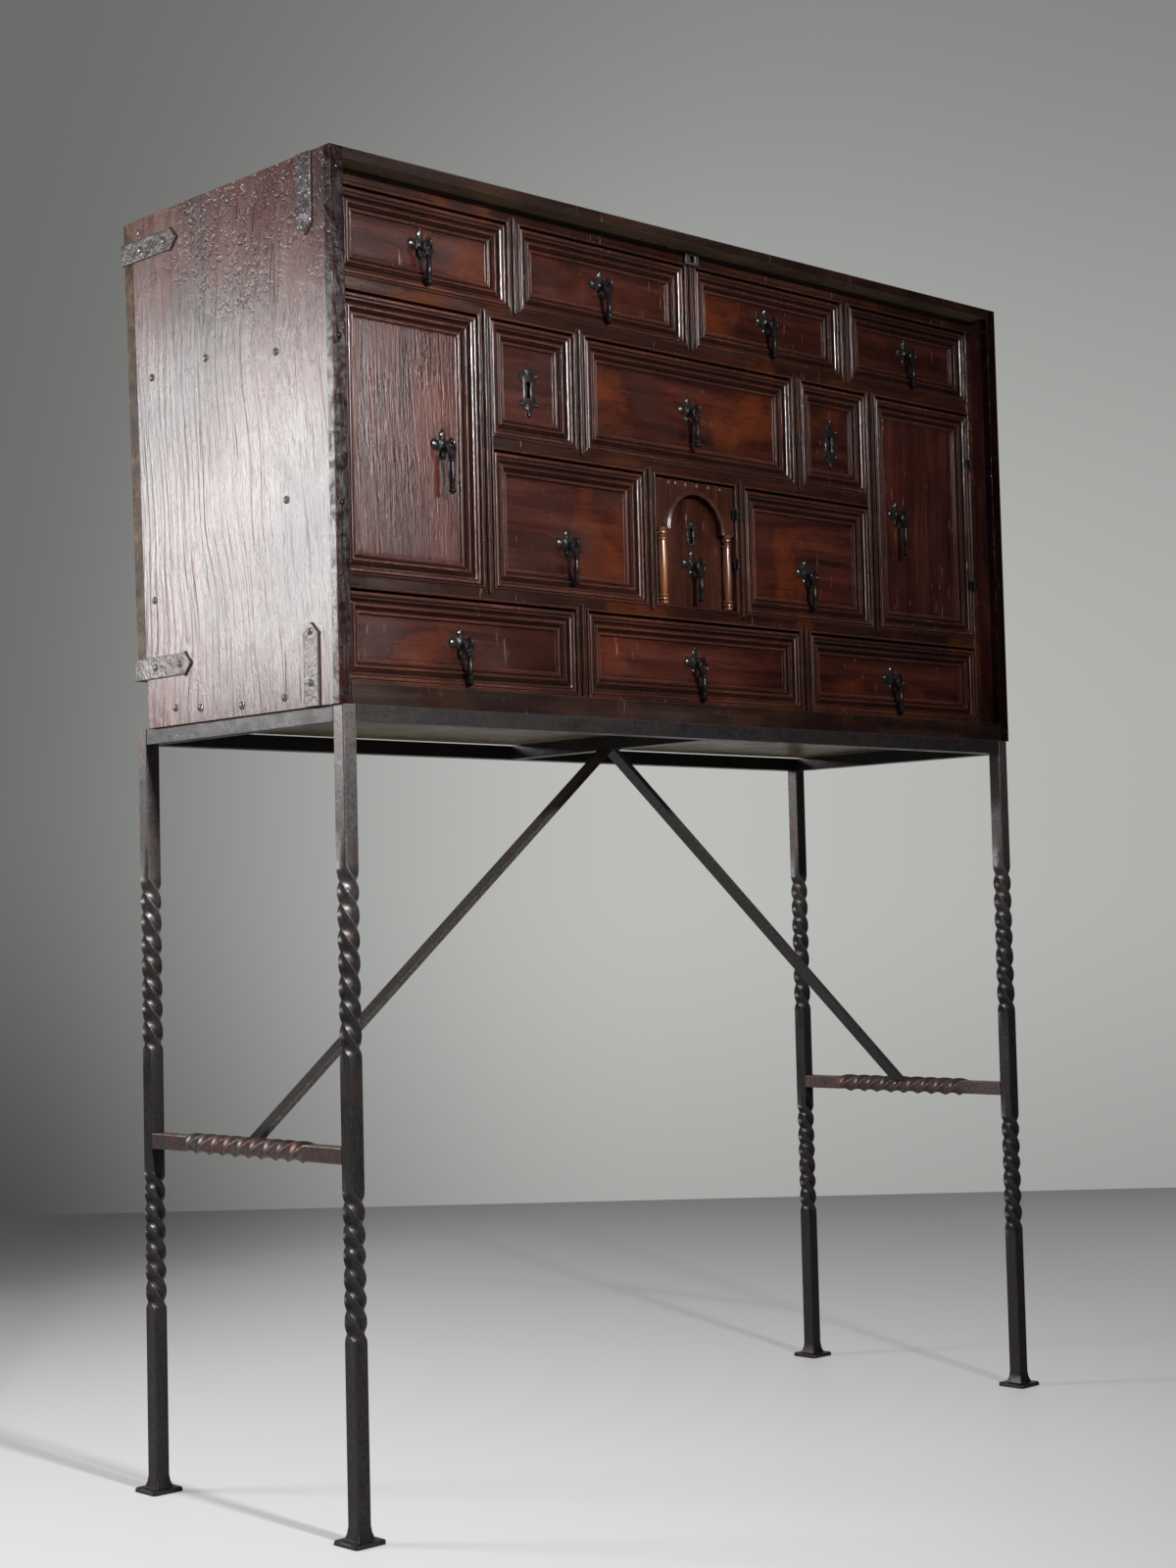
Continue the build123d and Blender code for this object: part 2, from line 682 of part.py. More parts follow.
def hinge(axis_x, z, side, leaf_length, seat_y):
    """Eye hinge at height z: fixed pin and leaf, and the two eyes with the leaf on the door.

    side is +1 where the case lies on the +X side of the pin and -1 where it lies on the -X side.
    The door's leaf reaches back to seat_y.
    """
    axis_y = face_y - hinge_eye_radius
    tall = hinge_eye_height
    pitch = tall + hinge_eye_gap
    pin = upright_bar(hinge_pin_radius, axis_x, axis_y, z, 2 * pitch + tall)
    leaf_front = face_y - hinge_leaf_thickness
    fixed_x = sorted((axis_x, axis_x + side * hinge_leaf_length))
    fixed = pin + upright_bar(hinge_eye_radius, axis_x, axis_y, z, tall)
    fixed += block(*fixed_x, leaf_front, face_y, z - tall / 2, z + tall / 2)
    bore = upright_bar(hinge_pin_radius + hinge_play, axis_x, axis_y, z, 4 * pitch)
    loose_x = sorted((axis_x, axis_x - side * leaf_length))
    inner_x = sorted((axis_x - side * (hinge_eye_radius + hinge_eye_gap), axis_x - side * leaf_length))
    moving = block(*inner_x, leaf_front, seat_y, z - pitch - tall / 2, z + pitch + tall / 2)
    for level in (z - pitch, z + pitch):
        moving += upright_bar(hinge_eye_radius, axis_x, axis_y, level, tall)
        moving += block(*loose_x, leaf_front, face_y, level - tall / 2, level + tall / 2)
    return fixed, moving - bore


def door_board(free_x, hung_x, z0, z1):
    """Door board between its free and its hung edge, with the free edge bevelled."""
    back = panel_y + door_thickness
    inward = door_edge_bevel if hung_x > free_x else -door_edge_bevel
    outline = [(free_x, panel_y, z0), (hung_x, panel_y, z0), (hung_x, back, z0),
               (free_x + inward, back, z0)]
    return prism(outline, (0, 0, 1), z1 - z0)


def make_tall_door(name, side):
    """Tall door at one side; side is -1 for the left and +1 for the right."""
    low, high = door_divider_x + divider_width / 2, inner_half - end_strip_width
    x0, x1 = front_span(low, high)
    if side < 0:
        x0, x1 = -x1, -x0
    z0 = row_c_floor + run_clearance
    z1 = row_c_floor + door_height - top_gap
    board = door_board(*((x1, x0) if side < 0 else (x0, x1)), z0, z1)
    frame = moulding_frame(x0, x1, z0, z1)
    seat_y = face_y + front_setback + hinge_leaf_sink
    hinge_x = side * (high - side_gap / 2)
    middle = (z0 + z1) / 2
    pins, eyes = [], []
    for offset in (-hinge_spread / 2, hinge_spread / 2):
        fixed, moving = hinge(hinge_x, middle + offset, side, hinge_leaf_length, seat_y)
        pins.append(fixed)
        eyes.append(moving)
        frame = frame - moving
    save(f"door_{name}", [board, frame])
    free_edge = side * (low + side_gap)
    pull_x = free_edge + side * door_pull_inset
    pull_z = row_c_floor + pull_height_door
    save(f"door_{name}_irons", make_rosette(pull_x, pull_z) + eyes)
    save(f"pull_door_{name}", [Pos(pull_x, pivot_y, pull_z) * pull_shape(door_pull_shaft)])
    return pins


def make_arch_door():
    """Small door carved as an arch on two turned columns, hinged on its right."""
    x0, x1 = front_span(-arch_opening_width / 2, arch_opening_width / 2)
    z0 = row_c_floor + run_clearance
    z1 = row_c_floor + row_c_height - top_gap
    spring = z0 + arch_spring_height
    board = door_board(x0, x1, z0, z1)
    board = board - keyhole(0, row_c_floor + arch_lock_height, panel_y, panel_y + door_thickness)
    front = panel_y - spandrel_rise
    spandrel = block(x0, x1, front, panel_y, spring, z1)
    round_plane = Plane((0, front - arch_band_rise, spring), x_dir=(1, 0, 0), z_dir=(0, 1, 0))
    band = extrude(round_plane * Circle(arch_half_width + arch_band), dir=(0, 1, 0),
                   amount=spandrel_rise + arch_band_rise)
    void = extrude(round_plane * Circle(arch_half_width), dir=(0, 1, 0),
                   amount=spandrel_rise + arch_band_rise)
    above = block(x0, x1, front - bar, panel_y, spring, z1)
    carving = ((spandrel + band) - void) & above

    columns = []
    column_y = panel_y - column_radius
    inset = (x1 - arch_half_width) / 2
    for x in (x0 + inset, x1 - inset):
        columns.append(Pos(x, column_y, z0) * turned_column())
    save("arch_columns", columns)

    hinge_x = x1 + side_gap / 2
    middle = z0 + arch_hinge_height
    pins, eyes = [], []
    for offset in (-arch_hinge_spread / 2, arch_hinge_spread / 2):
        fixed, moving = hinge(hinge_x, middle + offset, 1, arch_leaf_length, panel_y)
        pins.append(fixed)
        eyes.append(moving)
        carving = carving - moving
    save("arch_door", [board, carving])

    lock_z = row_c_floor + arch_lock_height
    tip = x0 + arch_bolt_stand_back
    case, bolt = lock_parts(0, 0, tip - keyhole_radius - lock_case_margin, door_thickness)
    lay = Pos(tip, 0, lock_z) * Rot(0, -90, 0)
    save("bolt_arch", [lay * bolt])
    irons = [arch_plate(0, lock_z), lay * case] + make_rosette(0, row_c_floor + arch_pull_height)
    save("arch_door_irons", irons + eyes)
    save("pull_arch", [Pos(0, pivot_y, row_c_floor + arch_pull_height) * pull_shape(drawer_pull_shaft)])
    return pins


def arch_plate(x, z):
    """Narrow keyhole plate of the arched door."""
    half = lock_plate_width * 0.3
    mid = z - keyhole_length / 2 + keyhole_radius
    high = keyhole_length / 2 + keyhole_radius
    outline = [(x, mid + high + 4), (x + half, mid + high * 0.7), (x + half, mid - high * 0.7),
               (x, mid - high - 1), (x - half, mid - high * 0.7), (x - half, mid + high * 0.7)]
    plate = prism_y(outline, panel_y - plate_thickness, panel_y)
    return plate - keyhole(x, z, panel_y - plate_thickness, panel_y)


def turned_column():
    """Turned colonnette with a ringed capital and base, standing at z = 0."""
    full, thin = column_radius, column_radius * 0.78
    tall = arch_spring_height
    cap = tall - column_capital
    profile = [(full, 0), (full, 4), (thin, 5.5), (full, 8), (full, column_base), (thin, column_base + 1),
               (full * 0.86, tall * 0.35), (thin * 0.92, cap), (full * 0.92, cap + 1.5),
               (thin * 0.9, cap + 4), (full * 0.9, cap + 6.5), (thin * 0.9, cap + 9), (full, cap + 10),
               (full, tall)]
    return skin([ring(radius, z, column_facets) for radius, z in profile])


# ---------------------------------------------------------------- case ironwork
def spade_strap(length):
    """Flat strap in the XY plane along +X from the origin, with a spade end."""
    half = strap_width / 2
    neck = length - strap_tip
    right = [(0, half), (neck, half), (neck, half + strap_barb), (length, 0)]
    outline = right + [(x, -y) for x, y in right[-2::-1]]
    face = make_face(Polyline(*[(x, y, 0) for x, y in outline], close=True))
    return extrude(face, amount=strap_thickness, dir=(0, 0, 1))


def top_return():
    """End of an upright strap, bent over the side and let in flush with the case's top."""
    corner = Plane((case_width / 2 + strap_thickness, front_y + strap_front_inset,
                    case_top_z - strap_thickness), x_dir=(-1, 0, 0), z_dir=(0, 0, 1))
    return corner * spade_strap(strap_return)


def make_case_irons():
    """Spade straps on the sides, mirrored to both, and the keep of the missing fall-front."""
    outer = case_width / 2
    straps = []
    for level in (case_top_z - strap_top_drop, case_bottom_z + strap_bottom_rise):
        back = rear_y(level) + back_thickness
        slope = (side_depth_top - side_depth_bottom) / case_height
        lean = slope * (strap_width / 2 + strap_barb)
        on_side = Plane((outer, back - lean, level), x_dir=(0, -1, 0), z_dir=(1, 0, 0))
        flat = on_side * spade_strap(strap_length + back_thickness)
        behind = Plane((outer + strap_thickness, back + lean, level), x_dir=(-1, 0, 0), z_dir=(0, 1, 0))
        wrap = behind * spade_strap(strap_return)
        corner = block(outer, outer + strap_thickness, back - lean, back + lean + strap_thickness,
                       level - strap_width / 2, level + strap_width / 2)
        straps.append(flat + wrap + corner)
    inset_y = front_y + strap_front_inset
    down = Plane((outer, inset_y, case_top_z), x_dir=(0, 0, -1), z_dir=(1, 0, 0))
    straps.append(down * spade_strap(strap_length) + top_return())
    up = Plane((outer, inset_y, case_bottom_z), x_dir=(0, 0, 1), z_dir=(1, 0, 0))
    straps.append(up * spade_strap(strap_length))

    hang = case_top_z - top_thickness
    keep_back = face_y - ridge_rise - keep_gap
    keep_front = keep_back - keep_thickness
    keep = block(-keep_width / 2, keep_width / 2, keep_front, keep_back, hang - keep_height, hang)
    slot_low = hang - keep_height + keep_thickness
    slot = block(-keep_slot / 2, keep_slot / 2, keep_front, keep_back, slot_low, slot_low + keep_slot)
    save("case_irons", straps + mirrored(straps) + [keep - slot])


# ------------------------------------------------------------------------ build
a_inner = a_divider_x - divider_width / 2
d_inner = d_divider_x - divider_width / 2
b_inner = b_divider_x - divider_width / 2
c_inner = c_divider_x + divider_width / 2
run_end = inner_half - end_strip_width
b_lock_x = [-(block_half + b_inner + divider_width) / 2, (block_half + b_inner + divider_width) / 2]


def make_drawers():
    cells = {
        "a1": (-run_end, -a_divider_x - divider_width / 2, row_a_floor, row_a_height),
        "a2": (-a_inner, -divider_width / 2, row_a_floor, row_a_height),
        "a3": (divider_width / 2, a_inner, row_a_floor, row_a_height),
        "a4": (a_divider_x + divider_width / 2, run_end, row_a_floor, row_a_height),
        "b1": (-block_half, -b_inner - divider_width, row_b_floor, row_b_height),
        "b2": (-b_inner, b_inner, row_b_floor, row_b_height),
        "b3": (b_inner + divider_width, block_half, row_b_floor, row_b_height),
        "c1": (-block_half, -c_inner, row_c_floor, row_c_height),
        "c3": (c_inner, block_half, row_c_floor, row_c_height),
        "d1": (-run_end, -d_inner - divider_width, row_d_floor, row_d_height),
        "d2": (-d_inner, d_inner, row_d_floor, row_d_height),
        "d3": (d_inner + divider_width, run_end, row_d_floor, row_d_height),
    }
    drawer_pull = pull_shape(drawer_pull_shaft)
    pull_heights = {"a": pull_height_a, "b": pull_height_b, "c": pull_height_c, "d": pull_height_d}
    for name, (low, high, floor, height) in cells.items():
        middle = (low + high) / 2
        if name in ("b1", "b3"):
            lock = (middle, floor + lock_height_b)
            make_drawer(name, low, high, floor, height, lock)
            make_drawer_lock(name, *lock)
        else:
            level = floor + pull_heights[name[0]]
            make_drawer(name, low, high, floor, height)
            save(f"rosette_{name}", make_rosette(middle, level))
            save(f"pull_{name}", [Pos(middle, pivot_y, level) * drawer_pull])


os.makedirs("parts", exist_ok=True)
make_stand()
make_case()
make_inner_boards()
make_facade()
make_drawers()
hinge_pins = make_tall_door("left", -1) + make_tall_door("right", 1) + make_arch_door()
save("door_hinge_pins", hinge_pins)
make_case_irons()
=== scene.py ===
# %% [markdown]
# # A vargueno on its iron stand
# The cabinet's pieces and joints come from the imported model, which is the fixed frame. This lesson
# dresses that frame: it paints the nodes as wood and iron, and it models most of the ironwork and the
# turned columns again with Blender's own tools, each in the place of the node that it stands for.
# We start by loading the frame and its joints.

# %% Load the frame
import json
from math import cos, pi, radians, sin

import bpy
from mathutils import Matrix, Vector


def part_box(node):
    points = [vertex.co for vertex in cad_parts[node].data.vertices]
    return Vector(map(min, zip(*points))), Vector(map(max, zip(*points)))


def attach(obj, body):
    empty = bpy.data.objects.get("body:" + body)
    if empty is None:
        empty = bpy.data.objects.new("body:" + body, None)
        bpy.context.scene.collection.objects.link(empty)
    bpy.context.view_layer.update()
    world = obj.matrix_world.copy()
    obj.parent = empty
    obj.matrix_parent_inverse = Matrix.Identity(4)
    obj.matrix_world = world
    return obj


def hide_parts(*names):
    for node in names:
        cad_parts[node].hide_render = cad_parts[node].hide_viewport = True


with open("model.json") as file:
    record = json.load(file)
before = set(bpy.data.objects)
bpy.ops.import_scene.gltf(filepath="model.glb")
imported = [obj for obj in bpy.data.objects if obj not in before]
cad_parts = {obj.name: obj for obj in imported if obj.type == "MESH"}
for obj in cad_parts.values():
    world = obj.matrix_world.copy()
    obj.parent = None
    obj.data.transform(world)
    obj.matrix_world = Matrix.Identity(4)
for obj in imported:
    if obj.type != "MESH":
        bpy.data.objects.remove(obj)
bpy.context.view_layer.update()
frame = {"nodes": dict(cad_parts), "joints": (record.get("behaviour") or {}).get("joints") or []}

MM = 0.001

# %% [markdown]
# ## Camera
# The viewer crouches to the left of the cabinet and looks slightly up at it, so that the case looms over
# the legs. The camera's turn is built from three angles, which say how far it looks to the side, how far
# up, and how far it leans.

# %% Camera
CAMERA_PLACE = Vector((-2.2032, -2.2734, 0.6441))
CAMERA_TURN = radians(43.612)
CAMERA_LIFT = radians(3.344)
CAMERA_LEAN = radians(-1.386)
LENS = 56.35


def camera_axes(turn, lift, lean):
    """Right, up and forward of a camera that looks along +Y before it is turned."""
    forward = Vector((sin(turn) * cos(lift), cos(turn) * cos(lift), sin(lift)))
    right = Vector((cos(turn), -sin(turn), 0))
    up = right.cross(forward)
    return right * cos(lean) + up * sin(lean), up * cos(lean) - right * sin(lean), forward


right, up, forward = camera_axes(CAMERA_TURN, CAMERA_LIFT, CAMERA_LEAN)
camera_data = bpy.data.cameras.new("camera")
camera_data.lens = LENS
camera = bpy.data.objects.new("camera", camera_data)
camera.matrix_world = Matrix.Translation(CAMERA_PLACE) @ Matrix((right, up, -forward)).transposed().to_4x4()
bpy.context.scene.collection.objects.link(camera)
bpy.context.scene.camera = camera
print("camera at", tuple(round(v, 3) for v in CAMERA_PLACE))

# %% [markdown]
# ## Lamps
# Waxed walnut and black iron are shown by what they mirror, so each lamp is put where one surface
# mirrors it. The key stands in front on the left: the dividers' ridges and the mouldings that face left
# catch it as bright lines. It is small, so that its glints are sharp. One lamp on the right lays a sheen
# on the left door, and one behind the left side glances along the side board. A narrower spread makes a
# lamp stronger straight ahead.

# %% Lamps
bpy.context.scene.view_settings.view_transform = "Standard"


def softbox(name, place, target, size, power, spread=180):
    """Square area lamp at a place, turned towards a target; spread is its cone in degrees."""
    data = bpy.data.lights.new(name, "AREA")
    data.shape = "SQUARE"
    data.size = size
    data.energy = power
    data.spread = radians(spread)
    lamp = bpy.data.objects.new(name, data)
    lamp.location = place
    lamp.rotation_euler = (Vector(target) - Vector(place)).to_track_quat("-Z", "Y").to_euler()
    bpy.context.scene.collection.objects.link(lamp)


softbox("key", (-0.75, -3.05, 2.10), (-0.72, -0.17, 1.12), 0.18, 17, 62)
softbox("door_sheen", (0.58, -2.35, 1.70), (-0.60, -0.17, 1.12), 0.60, 0.42, 29)
softbox("side_sheen", (-2.42, 2.20, 1.58), (-0.6, -0.15, 1.1), 0.8, 42)

# %% [markdown]
# ## Node helpers
# A material is a small graph. It could be drawn by hand in the node editor, but the same few steps come
# back in every wood and iron, so we write them once. `node` adds one node and sets or links its sockets
# by name, and the others are arithmetic on numbers that change from point to point.

# %% Node helpers
def node(tree, kind, settings=None, **sockets):
    """A shader node with its settings, and sockets that are set or linked by name, or by number as i0."""
    made = tree.nodes.new("ShaderNode" + kind)
    for key, value in (settings or {}).items():
        setattr(made, key, value)
    for key, value in sockets.items():
        socket = made.inputs[int(key[1:])] if key[1:].isdigit() else made.inputs[key.replace("_", " ")]
        if isinstance(value, bpy.types.NodeSocket):
            tree.links.new(value, socket)
        else:
            socket.default_value = value
    return made


def math(tree, operation, a, b=0):
    """One arithmetic step on two numbers or sockets."""
    return node(tree, "Math", {"operation": operation}, i0=a, i1=b).outputs[0]


def times(tree, first, *others):
    """Product of numbers or sockets."""
    for other in others:
        first = math(tree, "MULTIPLY", first, other)
    return first


def plus(tree, first, *others):
    """Sum of numbers or sockets."""
    for other in others:
        first = math(tree, "ADD", first, other)
    return first


def minus(tree, a, b):
    """Difference of two numbers or sockets."""
    return math(tree, "SUBTRACT", a, b)


def change(tree, value, low, high, first=0.0, last=1.0, how="LINEAR"):
    """Number that goes from first to last while a value goes from low to high."""
    return node(tree, "MapRange", {"interpolation_type": how}, Value=value, i1=low, i2=high, i3=first,
                i4=last).outputs[0]


print("node helpers ready")

# %% [markdown]
# Colours need three helpers more: a ramp that turns a number into a grey or a colour, a mix of two
# colours, and a tint, which darkens one colour by another as a glaze does.

# %% Colour helpers
def ramp(tree, factor, stops):
    """Colour ramp over a factor; stops are (position, grey or colour)."""
    made = tree.nodes.new("ShaderNodeValToRGB")
    tree.links.new(factor, made.inputs["Fac"])
    while len(made.color_ramp.elements) < len(stops):
        made.color_ramp.elements.new(1.0)
    for element, (position, colour) in zip(made.color_ramp.elements, stops):
        element.position = position
        element.color = (colour, colour, colour, 1) if isinstance(colour, (int, float)) else (*colour, 1)
    return made.outputs["Color"]


def blend_colours(tree, factor, a, b, how="MIX"):
    """Mix of two colours by a factor."""
    made = tree.nodes.new("ShaderNodeMix")
    made.data_type = "RGBA"
    made.blend_type = how
    for name, value in (("Factor", factor), ("A", a), ("B", b)):
        if isinstance(value, bpy.types.NodeSocket):
            tree.links.new(value, made.inputs[name])
        elif name == "Factor":
            made.inputs[name].default_value = value
        else:
            made.inputs[name].default_value = (*value, 1)
    return made.outputs["Result"]


def tint(tree, colour, shade, amount=1.0):
    """Colour multiplied by a shade."""
    return blend_colours(tree, amount, colour, shade, "MULTIPLY")


print("colour helpers ready")

# %% [markdown]
# Patterns need a place to read. `place_of` gives the Object coordinates, which stay fixed to a piece,
# `axis_of` takes one axis out of them, and `scaled` stretches them. `noise_of` reads cloudy noise there,
# and `patches` turns that noise into spots with soft rims.

# %% Pattern helpers
def place_of(tree):
    """Object coordinates of the point being shaded."""
    return tree.nodes.new("ShaderNodeTexCoord").outputs["Object"]


def axis_of(tree, vector, axis):
    """One axis of a vector."""
    return node(tree, "SeparateXYZ", Vector=vector).outputs[axis]


def scaled(tree, vector, scale, turn=(0, 0, 0)):
    """Coordinates turned by three angles and scaled along each axis."""
    return node(tree, "Mapping", Vector=vector, Rotation=turn, Scale=scale).outputs[0]


def noise_of(tree, vector, scale, detail=4.0, rough=0.55, distortion=0.0):
    """Noise value over a vector."""
    return node(tree, "TexNoise", Vector=vector, Scale=scale, Detail=detail, Roughness=rough,
                Distortion=distortion).outputs["Fac"]


def patches(tree, vector, scale, stops, detail=4.0, rough=0.55, distortion=0.0):
    """Noise seen through a ramp."""
    return ramp(tree, noise_of(tree, vector, scale, detail, rough, distortion), stops)


print("pattern helpers ready")

# %% [markdown]
# ## World
# The world gives a weak even light. The camera sees a grey wall instead, paler on the right and low down.
# Glossy surfaces see that wall behind the stand, and a dark studio in front of it. The ray's own
# direction tells the two apart, so the front of the cabinet mirrors the dark side of the room.

# %% World
AMBIENT = (0.115, 0.12, 0.13)
STUDIO_DARK = (0.014, 0.014, 0.014)
WALL_LEFT = (0.150, 0.150, 0.146)
WALL_RIGHT = (0.50, 0.51, 0.49)
BLACK = (0, 0, 0)

world = bpy.data.worlds.new("studio")
bpy.context.scene.world = world
world.use_nodes = True
tree = world.node_tree
direction = tree.nodes.new("ShaderNodeTexCoord").outputs["Generated"]
x, y, z = (axis_of(tree, direction, axis) for axis in "XYZ")

sideways = change(tree, x, 0.48, 0.71, how="SMOOTHSTEP")
far_right = change(tree, x, 0.70, 0.88, 1.0, 0.84, "SMOOTHSTEP")
low_down = change(tree, z, 0.06, 0.42, 1.0, 0.45, "SMOOTHSTEP")
near_foot = change(tree, z, -0.16, 0.02, 0.72, 1.0, "SMOOTHSTEP")
foot_left = change(tree, z, -0.16, 0.06, 0.30, 1.0, "SMOOTHSTEP")
left_tone = blend_colours(tree, foot_left, BLACK, WALL_LEFT)
right_tone = blend_colours(tree, times(tree, low_down, near_foot, far_right), BLACK, WALL_RIGHT)
wall = blend_colours(tree, sideways, left_tone, right_tone)

backwards = change(tree, y, 0.28, 0.50, how="SMOOTHSTEP")
room = blend_colours(tree, backwards, STUDIO_DARK, wall)
ray = tree.nodes.new("ShaderNodeLightPath")
mirrored = math(tree, "MAXIMUM", ray.outputs["Is Glossy Ray"], ray.outputs["Is Transmission Ray"])
light = blend_colours(tree, mirrored, AMBIENT, room)
seen = blend_colours(tree, ray.outputs["Is Camera Ray"], light, wall)
tree.links.new(seen, tree.nodes["Background"].inputs["Color"])
print("world ready")

# %% [markdown]
# ## Walnut
# Old waxed walnut is read at three scales. Long streaks run with the grain, made by noise on coordinates
# that are squeezed along one axis. Broad patches are redder or darker where hands and sun have been.
# Fine pores, dents and scratches lie in the bump, so that the wax breaks up into small glints.
# We start with the grain. A framed front has mitred mouldings, and the grain of each member runs along
# it, so the slope of a face picks the grain. The mouldings' fine beads follow the depth of the slope,
# and that makes them turn the corner at every mitre by themselves.

# %% Grain
SQUEEZE = {"X": (3.0, 55.0, 55.0), "Y": (55.0, 3.0, 55.0), "Z": (55.0, 55.0, 3.0)}
SLOPE = 0.12                 # a face slopes when its normal leans aside by more than this
BEAD = 2.6 * MM
WIDE_BEAD = 1.7 * BEAD


def grain_vector(tree, place, axis, waves):
    """Coordinates squeezed along the grain, after a slow wave bends them."""
    swirl = node(tree, "TexNoise", Vector=place, Scale=2.2, Detail=2.0)
    centred = node(tree, "VectorMath", {"operation": "SUBTRACT"}, i0=swirl.outputs["Color"],
                   i1=(0.5, 0.5, 0.5))
    offset = node(tree, "VectorMath", {"operation": "SCALE"}, i0=centred.outputs[0], Scale=waves)
    bent = node(tree, "VectorMath", {"operation": "ADD"}, i0=place, i1=offset.outputs[0])
    return scaled(tree, bent.outputs[0], SQUEEZE[axis])


def member_grain(tree, place, panel_axis, waves):
    """Grain of a framed front, and where its mouldings slope. Each mitred member's grain runs along it."""
    normal = tree.nodes.new("ShaderNodeTexCoord").outputs["Normal"]
    lean_x, lean_z = (math(tree, "ABSOLUTE", axis_of(tree, normal, axis)) for axis in "XZ")
    forwards = math(tree, "LESS_THAN", axis_of(tree, normal, "Y"), -0.3)
    sloping = times(tree, math(tree, "GREATER_THAN", plus(tree, lean_x, lean_z), SLOPE), forwards)
    along, across = (lean_x, lean_z) if panel_axis == "X" else (lean_z, lean_x)
    other = math(tree, "GREATER_THAN", minus(tree, along, across), SLOPE)
    mixed = node(tree, "Mix", {"data_type": "VECTOR"}, Factor=other)
    tree.links.new(grain_vector(tree, place, panel_axis, waves), mixed.inputs[4])
    tree.links.new(grain_vector(tree, place, "Z" if panel_axis == "X" else "X", waves), mixed.inputs[5])
    return mixed.outputs[1], sloping


def planed_beads(tree, place):
    """Height of the small beads planed along the mouldings, which repeat with the depth of the slope."""
    depth = plus(tree, axis_of(tree, place, "Y"), times(tree, noise_of(tree, place, 9.0, 2.0), 0.35 * MM))
    small, wide = (math(tree, "SINE", times(tree, depth, 2 * pi / size)) for size in (BEAD, WIDE_BEAD))
    return plus(tree, times(tree, small, 0.6), times(tree, wide, 0.4))


print("grain helpers ready")

# %% [markdown]
# ### Wear, painted shade and painted highlight
# Inner corners are darkened, as dirt and painted shade, and edges are painted paler, as wear and painted
# highlight. Occlusion finds the corners, and a bevelled normal beside the plain one finds the edges. Cracks
# open along the grain where a noise crosses its own middle, which gives thin lines. Scratches are a noise
# that is squeezed and turned, so they cross the grain.

# %% Wear and painted shade
def corner_share(tree, distance):
    """How open a point is, from 0 in a corner to 1."""
    return node(tree, "AmbientOcclusion", {"samples": 6, "only_local": True}, Distance=distance).outputs["AO"]


# finds the edges that are painted paler, as wear and painted highlight
def worn_and_glinting_edge(tree, radius, low, high):
    """Share of a sharp edge, and the normal that rounds it."""
    rounded = node(tree, "Bevel", {"samples": 4}, Radius=radius).outputs[0]
    plain = tree.nodes.new("ShaderNodeNewGeometry").outputs["Normal"]
    facing = node(tree, "VectorMath", {"operation": "DOT_PRODUCT"}, i0=rounded, i1=plain).outputs["Value"]
    return ramp(tree, facing, [(low, 1.0), (high, 0.0)]), rounded


def open_cracks(tree, place, grain, amount):
    """Thin lines along the grain, in a few places."""
    thin = noise_of(tree, scaled(tree, grain, (0.45, 0.45, 0.45)), 1.0, 2.0)
    line = ramp(tree, math(tree, "ABSOLUTE", minus(tree, thin, 0.5)), [(0.003, 1.0), (0.009, 0.0)])
    return times(tree, line, patches(tree, place, 7.0, [(0.62, 0.0), (0.70, amount)], 1.0))


def slanting_scratches(tree, place):
    """Fine scratches across the grain, in a few places."""
    slant = scaled(tree, place, (420, 420, 26), (0.3, 0.62, 0.2))
    line = patches(tree, slant, 1.0, [(0.690, 0.0), (0.715, 1.0)], 2.0, 0.5)
    return times(tree, line, patches(tree, place, 11.0, [(0.52, 0.0), (0.60, 1.0)], 1.0))


def pits_high_up(tree, place, amount):
    """Small pits, thick near the top of the case and rare below."""
    spots = patches(tree, place, 130.0, [(0.54, 0.0), (0.64, 1.0)], 2.0, 0.6)
    height = plus(tree, axis_of(tree, place, "Z"), noise_of(tree, place, 6.0, 2.0))
    return times(tree, spots, change(tree, height, 1.85, 2.1, 0.04), amount)


print("wear helpers ready")

# %% [markdown]
# ### The streaks
# The colour of walnut is mostly its streaks. A ramp gives them a dark, a middle and a light tone, smoke
# clouds them, and in places the red ground of the polish glows through.

# %% Streaks
def streaked(tree, place, streaks, tones, smoke, glow, glow_amount):
    """Colour of the streaks, clouded by smoke, with a glow where the polish is thin."""
    colour = ramp(tree, streaks, [(0.30, tones[0]), (0.52, tones[1]), (0.72, tones[2])])
    colour = tint(tree, colour, patches(tree, place, 5.0, [(0.32, smoke), (0.62, 1.12)], 3.0, 0.5))
    if glow:
        where = patches(tree, place, 9.0, [(0.52, 0.0), (0.70, 1.0)], 3.0, 0.55, 0.6)
        glowing = blend_colours(tree, 0.75, colour, glow)
        colour = blend_colours(tree, times(tree, where, glow_amount), colour, glowing)
    return colour


print("streak helper ready")

# %% [markdown]
# ### The recipe
# `walnut` puts the layers together: first the colour, with painted shade in its corners, then the wax,
# which is thin in corners and on dull patches, and last the relief. On a framed front the hollows between
# the beads are darkened, as dirt and painted shade, and only their crests are waxed, so a lamp draws them
# as thin bright lines. One recipe with many settings keeps all the woods of the cabinet alike, as boards
# from one workshop are.

# %% Walnut recipe
SOFT_EDGE = 1.2 * MM
RELIEF_DEPTH = 1.2 * MM
CRACK_BLACK = (0.006, 0.004, 0.004)
MOULDING_BROWN = (0.034, 0.018, 0.013)


def start_material(name):
    """New node material, as (material, tree, shader)."""
    material = bpy.data.materials.new(name)
    material.use_nodes = True
    return material, material.node_tree, material.node_tree.nodes["Principled BSDF"]


